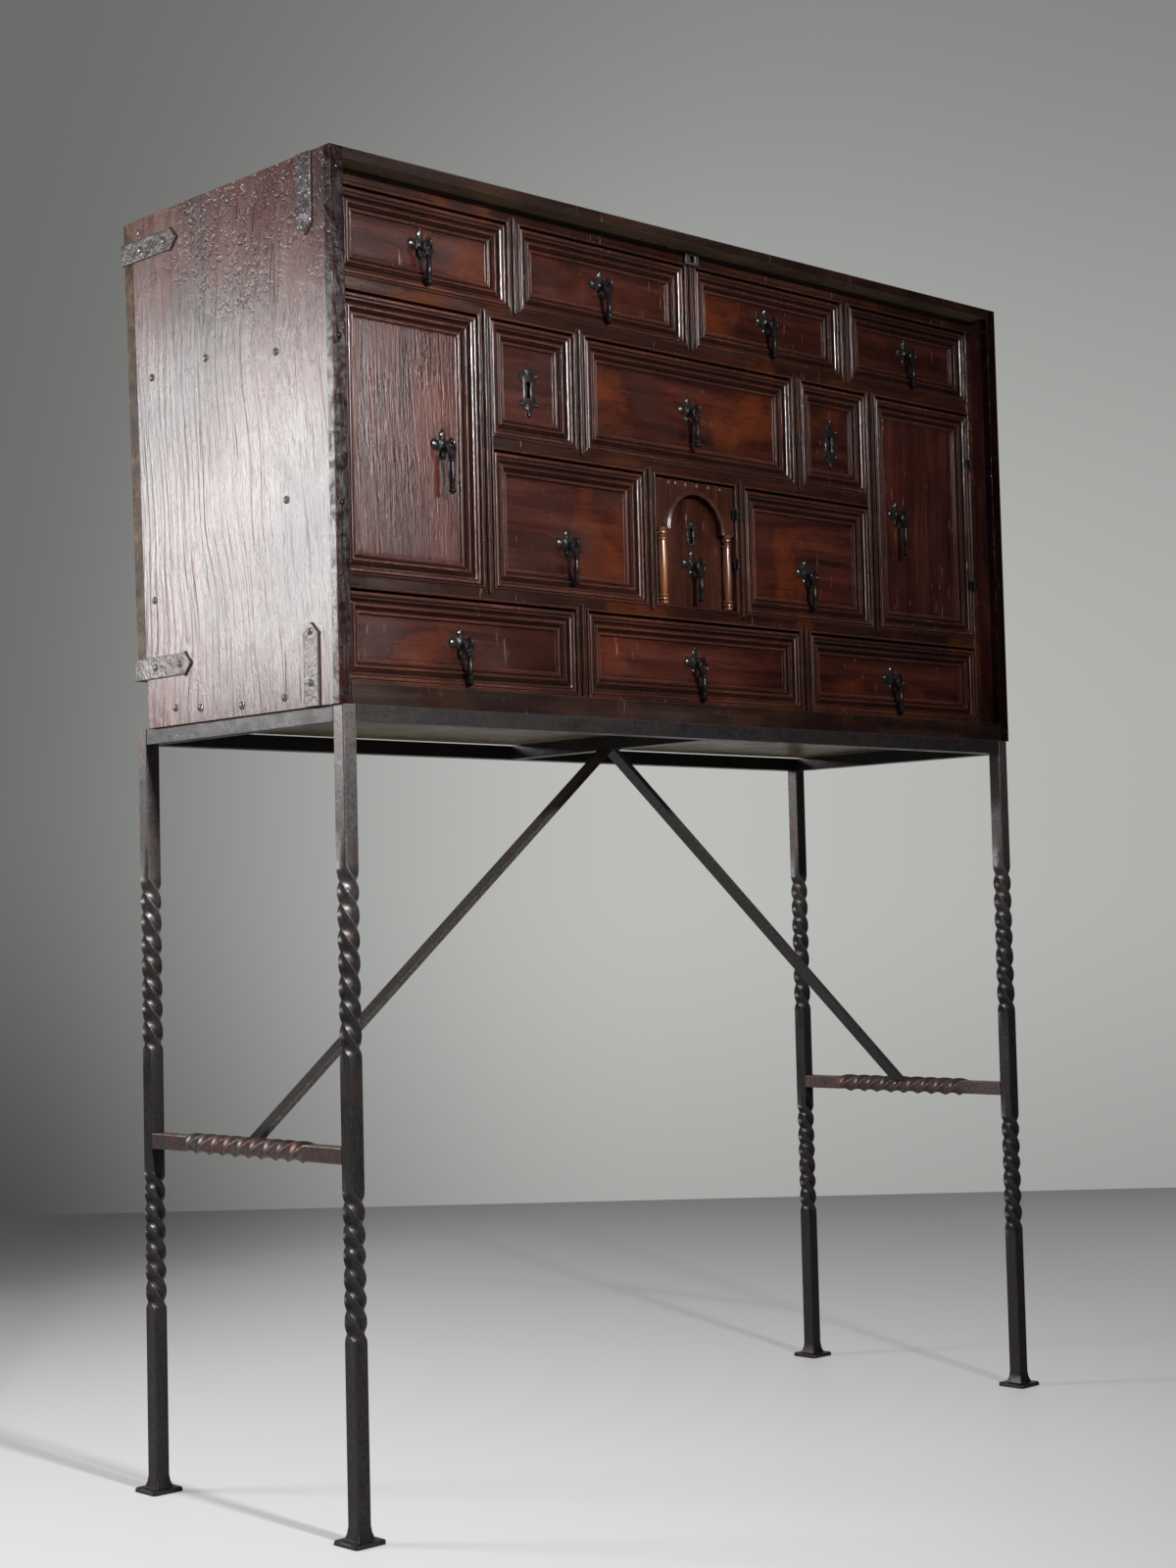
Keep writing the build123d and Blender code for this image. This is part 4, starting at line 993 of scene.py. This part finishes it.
def drop_pull(name, shaft):
    """Pull hung from the origin, with a shaft whose length is given in millimetres."""
    ring = begin(bpy.ops.mesh.primitive_torus_add, major_radius=(RING_WIDTH - RING_BAR) / 2,
                 minor_radius=RING_BAR / 2, major_segments=28, minor_segments=10,
                 location=(0, 0, 0), rotation=(radians(90), 0, 0))
    bpy.ops.transform.resize(value=(1, 1, (RING_HEIGHT - RING_BAR) / (RING_WIDTH - RING_BAR)),
                             center_override=(0, 0, 0))
    settle(ring, name + "_ring", pull_black, location=(0, 0, (RING_BAR - RING_HEIGHT) / 2))

    swelling = [(BELLY * width, COLLARS_END + shaft * part) for width, part in SWELLING]
    steps = COLLARS + swelling + [(radius, COLLARS_END + shaft + drop) for radius, drop in END_BALL]
    top = RING_BAR / 2 - RING_HEIGHT + OVERLAP
    stem = turned([(radius, top - drop * MM) for radius, drop in steps], 14)
    settle(stem, name + "_stem", pull_black)
    return join(name, [ring, stem])


pull_places = {}
for joint in frame["joints"]:
    if joint["child"].startswith("pull_"):
        pull_places[joint["child"]] = joint["pos_m"]

short_pull = drop_pull("short_pull", 18)
long_pull = drop_pull("long_pull", 26)
for body, place in pull_places.items():
    pattern = long_pull if "door" in body else short_pull
    piece = copy_of(pattern, body + "_iron", place)
    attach(piece, body)
    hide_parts(body)
for pattern in (short_pull, long_pull):
    bpy.data.objects.remove(pattern)
print(len(pull_places), "pulls hung")

# %% [markdown]
# ## Rosettes and staples
# Behind each pull sits an iron rosette: a boss with four lobes, of which the left and right ones are
# domed and the upper one runs out to a point. The staple is an eye on a shank that goes through its
# middle. We build one from flattened balls and a turned point and copy it to every pull.

# %% Rosettes
FRAME_RISE = 10 * MM            # the moulding frame of a front stands this far off its flat panel
PANEL_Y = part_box("drawer_a1")[0].y + FRAME_RISE
LOBE_OUT = 11.5 * MM
LOBE_RADIUS = 6.6 * MM
# x, z, share of the lobe's radius, and rise in millimetres
LOBES = ((-1, 0, 1.0, 3.6), (1, 0, 0.92, 3.4), (0, -1, 0.85, 2.4), (0, 1, 0.8, 2.6))
BOSS = [(8.5, 0), (8.5, 1.6), (6.5, 2.6)]                # (radius, rise) in millimetres
POINT = [(2.6, 12), (3.6, 14), (3.0, 16), (1.2, 17.6), (1.8, 18.6), (0.4, 20.4)]
POINT_FLATNESS = 0.6
POINT_RISE = 1.0 * MM
STAPLE_RADIUS, STAPLE_BAR = 4.5 * MM, 1.3 * MM           # radius of the eye, and of its bar
SHANK_START = 3.6 * MM                                   # how far behind the pivot the shank begins
SHANK_WIDTH, SHANK_HEIGHT = 2.8 * MM, 3.4 * MM


def rosette(name):
    """Rosette and staple about a pull's pivot at the origin."""
    back = PANEL_Y - pull_places["pull_a1"][1]
    plate = turned([(radius * MM, rise * MM) for radius, rise in BOSS], 20)
    parts = [settle(plate, name + "_plate", rosette_grey, rotation_euler=(radians(90), 0, 0),
                    location=(0, back, 0))]
    for x, z, width, rise in LOBES:
        parts.append(ball("lobe", (x * LOBE_OUT, back, z * LOBE_OUT),
                          (LOBE_RADIUS * width, rise * MM, LOBE_RADIUS * width), rosette_grey))
    # the point is shaded while it is round, so that its edges stay crisp when it is flattened
    point = turned([(radius * MM, level * MM) for radius, level in POINT], 12)
    settle(point, "point", rosette_grey)
    parts.append(settle(point, "point", rosette_grey, scale=(1, POINT_FLATNESS, 1),
                        location=(0, back - POINT_RISE, 0)))

    eye = begin(bpy.ops.mesh.primitive_torus_add, major_radius=STAPLE_RADIUS, minor_radius=STAPLE_BAR,
                major_segments=20, minor_segments=8, location=(0, 0, 0), rotation=(0, radians(90), 0))
    parts.append(settle(eye, "eye", rosette_grey))
    reach = back - SHANK_START
    parts.append(block("shank", (0, back - reach / 2, 0), (SHANK_WIDTH, reach, SHANK_HEIGHT), rosette_grey))
    return join(name, parts)


pattern = rosette("rosette_pattern")
for body, place in pull_places.items():
    carrier = body.replace("pull_", "")
    if carrier == "arch":
        carrier = "arch_door"
    elif not carrier.startswith("door"):
        carrier = "drawer_" + carrier
    piece = copy_of(pattern, carrier + "_rosette", place)
    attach(piece, carrier)
    if carrier.startswith("drawer_"):
        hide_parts(carrier.replace("drawer_", "rosette_"))
    else:
        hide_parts(carrier + "_irons")
bpy.data.objects.remove(pattern)
print("rosettes set on", len(pull_places), "fronts")

# %% [markdown]
# ## Hinge eyes
# A tall door turns on two pins and the arched door on two small ones. The pins are part of the cabinet.
# The door's own share is a pair of eyes above and below the middle eye, on a leaf that is nailed to it.
# One short profile turns both eyes, and a block makes the leaf.

# %% Hinge eyes
EYE_RADIUS = 2.8 * MM
EYE_HEIGHT = 4 * MM
EYE_PITCH = 4.3 * MM
EYE_RIM = 0.5 * MM
LEAF_THICKNESS = 2.4 * MM
LEAF_GAP = 0.3 * MM
TALL_SPREAD, TALL_LEAF = 86 * MM, 4.4 * MM       # hinge from the door's middle, and width of its leaf
ARCH_SPREAD, ARCH_LEAF = 31.5 * MM, 2.0 * MM
EYE_PROFILE = [(EYE_RADIUS * 0.8, 0), (EYE_RADIUS, EYE_RIM), (EYE_RADIUS, EYE_HEIGHT - EYE_RIM),
               (EYE_RADIUS * 0.8, EYE_HEIGHT)]


def hinge_eyes(name, axis_x, axis_y, z, side, leaf):
    """Two eyes and their leaf on the door; side is the sign of x from the door to the pin."""
    parts = []
    for level in (z - EYE_PITCH, z + EYE_PITCH):
        parts.append(settle(turned(EYE_PROFILE, 14), name + "_eye", pull_black,
                            location=(axis_x, axis_y, level - EYE_HEIGHT / 2)))
    leaf_x = axis_x - side * (EYE_RADIUS + LEAF_GAP + leaf / 2)
    parts.append(block(name + "_leaf", (leaf_x, axis_y + EYE_RADIUS, z),
                       (leaf, LEAF_THICKNESS, 2 * EYE_PITCH + EYE_HEIGHT), pull_black))
    return join(name, parts)


for joint in frame["joints"]:
    body = joint["child"]
    if body not in ("arch_door", "door_left", "door_right"):
        continue
    x, y, z = joint["pos_m"]
    side = 1 if x > 0 else -1
    spread, leaf = (ARCH_SPREAD, ARCH_LEAF) if body == "arch_door" else (TALL_SPREAD, TALL_LEAF)
    for number, level in enumerate((z - spread, z + spread), 1):
        piece = hinge_eyes(f"{body}_hinge_{number}", x, y, level, side, leaf)
        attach(piece, body)
        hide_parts(body + "_irons")
print("hinge eyes on three doors")

# %% [markdown]
# ## Locks
# The two small drawers of the second row and the arched door have locks. A lock is a forged plate with
# a waist, pointed ears and a keyhole, and small domed knobs on its points. Behind the board sits its
# box, with a channel in which the bolt runs. A plate is best drawn as a flat curve: the keyhole is a
# second closed line inside the outline, and the curve's own bevel rounds the rim.

# %% Plates
KEYHOLE_RADIUS = 3.4                 # the sizes of plates and keyholes are in millimetres
KEYHOLE_LENGTH = 20
KEYHOLE_FOOT = 3.25
EAR_QUARTER = [(0, 33), (2.2, 31), (3.0, 28.5), (1.9, 26.4), (5.6, 24), (6.0, 20.6), (4.0, 18.4), (9.0, 17.4),
               (13.6, 19.8), (15.4, 16.8), (12.2, 13.2), (9.8, 9.4), (9.0, 4)]
EARED = EAR_QUARTER + [(x, -z) for x, z in EAR_QUARTER[::-1]]
SCALLOPED = [(0, 17), (3.2, 16.4), (5.2, 13.6), (8.6, 13.2), (9.2, 9.4), (7.0, 6.6), (9.0, 2.6), (8.6, -2.4),
             (6.6, -5.4), (8.6, -8.6), (6.2, -12.4), (3.0, -12.2), (0, -14.2)]
# x, z and radius of the knobs
EARED_KNOBS = [(0, 29.8, 3.0), (12.4, 16.8, 2.4), (12.4, -16.8, 2.4), (0, -29.8, 3.0)]
SCALLOPED_KNOBS = [(0, 14.0, 2.2), (6.6, 10.6, 2.0), (6.4, -9.4, 2.0), (0, -11.8, 2.0)]


def keyhole_line():
    """Closed line of a keyhole below a round eye, about the middle of its plate."""
    eye = KEYHOLE_LENGTH / 2 - KEYHOLE_RADIUS
    round_part = [(KEYHOLE_RADIUS * sin(radians(angle)), eye + KEYHOLE_RADIUS * cos(radians(angle)))
                  for angle in range(-150, 151, 30)]
    foot = eye + KEYHOLE_RADIUS - KEYHOLE_LENGTH
    return round_part + [(KEYHOLE_FOOT, foot), (-KEYHOLE_FOOT, foot)]


def whole_outline(half):
    """Closed outline from its right half, which runs from the top point to the bottom one."""
    return half + [(-x, z) for x, z in half[::-1] if x > 0]


def flat_plate(name, lines, thickness, rim, finish):
    """Plate from closed (points in mm, handle) lines, x across and z up, with its back at y = 0."""
    curve = bpy.data.curves.new(name, "CURVE")
    curve.dimensions = "2D"
    curve.fill_mode = "BOTH"
    curve.extrude = thickness / 2 - rim
    curve.bevel_depth = rim
    curve.bevel_resolution = 1
    curve.offset = -rim
    curve.resolution_u = 3
    for points, handle in lines:
        spline = curve.splines.new("BEZIER")
        spline.bezier_points.add(len(points) - 1)
        for knot, (x, z) in zip(spline.bezier_points, points):
            knot.co = (x * MM, z * MM, 0)
            knot.handle_left_type = knot.handle_right_type = handle
        spline.use_cyclic_u = True
    piece = bpy.data.objects.new(name, curve)
    bpy.context.scene.collection.objects.link(piece)
    pick(piece)
    bpy.ops.object.convert(target="MESH")
    piece = bpy.context.object
    piece.rotation_euler = (radians(90), 0, 0)
    piece.location = (0, -thickness / 2, 0)
    bpy.ops.object.mode_set(mode="EDIT")
    bpy.ops.mesh.select_all(action="SELECT")
    bpy.ops.mesh.remove_doubles(threshold=0.00001)
    return settle(piece, name, finish, 40)


print("plate helpers ready")

# %% [markdown]
# The lock's box is a bevelled block. A cutter as large as the bolt, with a little play, is taken out of
# it with a Boolean modifier, so the bolt has a channel to slide in.

# %% Lock helpers
PLATE_THICKNESS = 1.6 * MM
PLATE_RIM = 0.4 * MM
PLATE_HALF = 33 * MM                 # half the height of an eared plate
KNOB_RISE = 2.0 * MM
LOCK_BOX_HALF = 22 * MM
LOCK_BOX_DEPTH = 12 * MM
LOCK_BOX_MARGIN = 8 * MM
LOCK_BOX_RIM = 0.8 * MM
BOLT_PLAY = Vector((0.4 * MM, 0.4 * MM, 0.4 * MM))
BOLT_RUN = 4 * MM                    # the channel runs this far on past the bolt


def cut(piece, low, high):
    """Take a block between two corners out of the piece."""
    cutter = block("cutter", (low + high) / 2, high - low, piece.data.materials[0])
    pick(piece)
    boolean = piece.modifiers.new("cut", "BOOLEAN")
    boolean.operation = "DIFFERENCE"
    boolean.object = cutter
    bpy.ops.object.modifier_apply(modifier=boolean.name)
    bpy.data.objects.remove(cutter)


def lock(name, outline, knobs, eye, low, high, bolt, out):
    """Plate, knobs and box of one lock; out is the direction in which its bolt slides."""
    middle = Vector((eye.x, PANEL_Y, eye.z + (KEYHOLE_RADIUS - KEYHOLE_LENGTH / 2) * MM))
    plate = flat_plate(name + "_plate", [(whole_outline(outline), "AUTO"), (keyhole_line(), "VECTOR")],
                       PLATE_THICKNESS, PLATE_RIM, rosette_grey)
    parts = [settle(plate, name, rosette_grey, 40, location=middle)]
    for x, z, radius in knobs:
        for side in ((-1, 1) if x else (1,)):
            place = middle + Vector((side * x * MM, -PLATE_THICKNESS, z * MM))
            parts.append(ball("knob", place, (radius * MM, KNOB_RISE, radius * MM), rosette_grey, 14, 8))
    case = block("lock_box", (low + high) / 2, high - low, rosette_grey, LOCK_BOX_RIM)
    ahead = Vector(out) * BOLT_RUN
    cut(case, bolt[0] - BOLT_PLAY + Vector([min(0, step) for step in ahead]),
        bolt[1] + BOLT_PLAY + Vector([max(0, step) for step in ahead]))
    parts.append(case)
    return join(name, parts)


print("lock helpers ready")

# %% [markdown]
# Each lock is built where the frame has it. On the drawers the box of the lock's node gives the place of
# the keyhole, and on the arched door the height of the bolt does. The bolt's own box says where its
# channel runs: the two drawers' bolts rise, and the arched door's slides to the side.

# %% Set the locks
for number in ("1", "3"):
    low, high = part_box(f"lock_b{number}")
    eye = Vector(((low.x + high.x) / 2, PANEL_Y,
                  low.z + PLATE_HALF + (KEYHOLE_LENGTH / 2 - KEYHOLE_RADIUS) * MM))
    box_low = Vector((eye.x - LOCK_BOX_HALF, high.y - LOCK_BOX_DEPTH,
                      eye.z + (KEYHOLE_RADIUS - KEYHOLE_LENGTH) * MM - LOCK_BOX_MARGIN))
    box_high = Vector((eye.x + LOCK_BOX_HALF, high.y, high.z))
    piece = lock(f"lock_b{number}_ironwork", EARED, EARED_KNOBS, eye, box_low, box_high,
                 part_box(f"bolt_b{number}"), (0, 0, 1))
    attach(piece, f"drawer_b{number}")
    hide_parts(f"lock_b{number}")

bolt_low, bolt_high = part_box("bolt_arch")
back_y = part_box("arch_door_irons")[1].y
eye = Vector((0, PANEL_Y, (bolt_low.z + bolt_high.z) / 2))
box_low = Vector((bolt_low.x, back_y - LOCK_BOX_DEPTH, eye.z - LOCK_BOX_HALF))
box_high = Vector((KEYHOLE_RADIUS * MM + LOCK_BOX_MARGIN, back_y, eye.z + LOCK_BOX_HALF))
piece = lock("lock_arch_ironwork", SCALLOPED, SCALLOPED_KNOBS, eye, box_low, box_high,
             (bolt_low, bolt_high), (-1, 0, 0))
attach(piece, "arch_door")
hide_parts("arch_door_irons")
print("three locks set")

# %% [markdown]
# ## Colonnettes of the arched door
# Two little columns carry the arch. A turner cuts beads and hollows for base and capital and lets the
# shaft swell and taper. The same profile gives both; they were cut from differently coloured wood, and
# both are polished so that a lamp draws one bright line down the shaft.

# %% Colonnettes
def polished(name, tones):
    """Turned and polished wood with fine lengthwise grain."""
    material, tree, shader = start_material(name)
    grain = scaled(tree, place_of(tree), (240, 240, 12))
    colour = patches(tree, grain, 1.0, [(0.3, tones[0]), (0.7, tones[1])])
    # painted shade: occlusion darkens the corners between beads and hollows, together with dirt
    dirt = ramp(tree, corner_share(tree, 4 * MM), [(0.4, 0.25), (0.95, 1.0)])
    tree.links.new(tint(tree, colour, dirt), shader.inputs["Base Color"])
    for socket, value in {"Roughness": 0.22, "Specular IOR Level": 0.9, "Coat Weight": 1.0,
                          "Coat Roughness": 0.20}.items():
        shader.inputs[socket].default_value = value
    return material


golden_wood = polished("golden_wood", [(0.11, 0.032, 0.008), (0.28, 0.092, 0.020)])
russet_wood = polished("russet_wood", [(0.065, 0.018, 0.009), (0.17, 0.052, 0.022)])
bead_wood = polished("bead_wood", [(0.030, 0.010, 0.006), (0.080, 0.027, 0.015)])

# (share of the radius, level in millimetres)
COLUMN_PROFILE = [(0.80, 0), (0.98, 0.6), (0.98, 3.6), (0.72, 4.8), (0.98, 6.2), (0.98, 8.0), (0.74, 9.4),
                  (0.95, 10.6), (0.95, 12.2), (0.72, 13.6), (0.82, 24), (0.88, 40), (0.82, 60), (0.72, 77),
                  (0.70, 79), (0.94, 80.2), (0.94, 81.8), (0.68, 83.2), (0.84, 85.0), (0.68, 86.8),
                  (0.95, 88.2), (0.95, 90.4), (0.80, 91.6), (0.92, 92.8), (0.92, 95)]
low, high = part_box("arch_columns")
column_radius = (high.y - low.y) / 2
column_y = (low.y + high.y) / 2
column = turned([(column_radius * width, level * MM) for width, level in COLUMN_PROFILE], 28)
settle(column, "colonnette_left", golden_wood, 50)
twin = copy_of(column, "colonnette_right", (high.x - column_radius, column_y, low.z))
twin.data.materials[0] = russet_wood
settle(column, "colonnette_left", golden_wood, 50, location=(low.x + column_radius, column_y, low.z))
for piece in (column, twin):
    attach(piece, "arch_door")
    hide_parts("arch_columns")
print("colonnette:", len(column.data.polygons), "faces")

# %% [markdown]
# The arch over the columns has a bead along each edge of its band. Each bead is half of a ring: a torus
# whose lower half is cut away at the height where the arch springs.

# %% Archivolt beads
ARCH_RADIUS = 46 * MM                # the opening of the arch
BAND = 6 * MM                        # width of the band round it
BEAD_RADIUS = 1.6 * MM
REACH = Vector((0.1, 0.02, 0.1))     # half the size of the block that takes the lower half away
spring = high.z
band_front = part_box("arch_door")[0].y

for name, radius in (("inner", ARCH_RADIUS + BEAD_RADIUS), ("outer", ARCH_RADIUS + BAND - BEAD_RADIUS)):
    bead = begin(bpy.ops.mesh.primitive_torus_add, major_radius=radius, minor_radius=BEAD_RADIUS,
                 major_segments=72, minor_segments=12, rotation=(radians(90), 0, 0))
    settle(bead, f"archivolt_bead_{name}", bead_wood, location=(0, band_front, spring))
    below = Vector((0, band_front, spring - REACH.z))
    cut(bead, below - REACH, below + REACH)
    settle(bead, f"archivolt_bead_{name}", bead_wood)
    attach(bead, "arch_door")
print("archivolt beads at", round(spring, 3))

# %% [markdown]
# ## Nails
# Hand-made nails with domed, slightly faceted heads hold the straps and the boards. For each row one
# dome with seven flats is shaped, and copied to every place.

# %% Nails
NAIL_PROFILE = [(1.0, 0), (0.98, 0.16), (0.72, 0.42), (0.35, 0.56), (0.08, 0.6)]


def nail_row(name, radius, finish, places, outward, body="cabinet"):
    """Nails joined into one piece; outward is the direction their heads point in."""
    head = turned([(radius * width, radius * rise) for width, rise in NAIL_PROFILE], 7)
    settle(head, "nail_head", finish, 25)
    turn = Vector(outward).to_track_quat("Z", "Y").to_euler()
    nails = [settle(copy_of(head, name), name, finish, 25, rotation_euler=turn, location=place)
             for place in places]
    bpy.data.objects.remove(head)
    piece = join(name, nails)
    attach(piece, body)


STRAP_NAIL = 4.4 * MM            # radius of the heads, here and for the other nails
BOARD_NAIL = 4.8 * MM
EDGE_NAIL = 3.6 * MM
ARCH_NAIL = 2.2 * MM
STRAP_THICKNESS = 2.5 * MM
EDGE_INSET = 9 * MM              # from the outer face of a side board to the nails in its front edge
ARCH_INSET = 4 * MM              # from the arched door's top to its nails
SPANDREL_DEPTH = 1.5 * MM        # from the front of the arch's band back to the board over it
low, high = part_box("case_side_left")
half_case, front_y, case_foot, case_top = -low.x, low.y, low.z, high.z

# (y, z) of the nails in the straps: two in each level strap, then two in each upright one
strap_places = [(118 * MM, case_top - 38 * MM), (168 * MM, case_top - 38 * MM),
                (97 * MM, case_foot + 70 * MM), (147 * MM, case_foot + 70 * MM)]
strap_places += [(front_y + 46 * MM, z) for z in (case_top - 26 * MM, case_top - 82 * MM, case_foot + 26 * MM,
                                                  case_foot + 82 * MM)]
# y, and height above the case's foot, of the nails in the boards, in millimetres
board_places = [(-10, 592), (172, 594), (150, 415), (40, 418), (-95, 400), (-110, 232), (150, 150),
                (60, 16), (110, 20), (-20, 12), (-100, 14)]
for side, name in ((-1, "left"), (1, "right")):
    strap_face = side * (half_case + STRAP_THICKNESS)
    nail_row(f"strap_nails_{name}", STRAP_NAIL, bright_iron, [(strap_face, y, z) for y, z in strap_places],
             (side, 0, 0))
    nail_row(f"board_nails_{name}", BOARD_NAIL, bright_iron,
             [(side * half_case, y * MM, case_foot + z * MM) for y, z in board_places], (side, 0, 0))

edge_x = half_case - EDGE_INSET
nail_row("front_edge_nails", EDGE_NAIL, pull_black,
         [(side * edge_x, front_y, case_foot + z * MM) for side in (-1, 1) for z in (14, 218, 400, 586)],
         (0, -1, 0))
arch_nail_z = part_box("arch_door")[1].z - ARCH_INSET
spandrel_front = band_front + SPANDREL_DEPTH
nail_row("arch_nails", ARCH_NAIL, bright_iron,
         [(x * MM, spandrel_front, arch_nail_z) for x in (-46, -34, -16, 4, 25, 46)], (0, -1, 0), "arch_door")
print("nails driven")
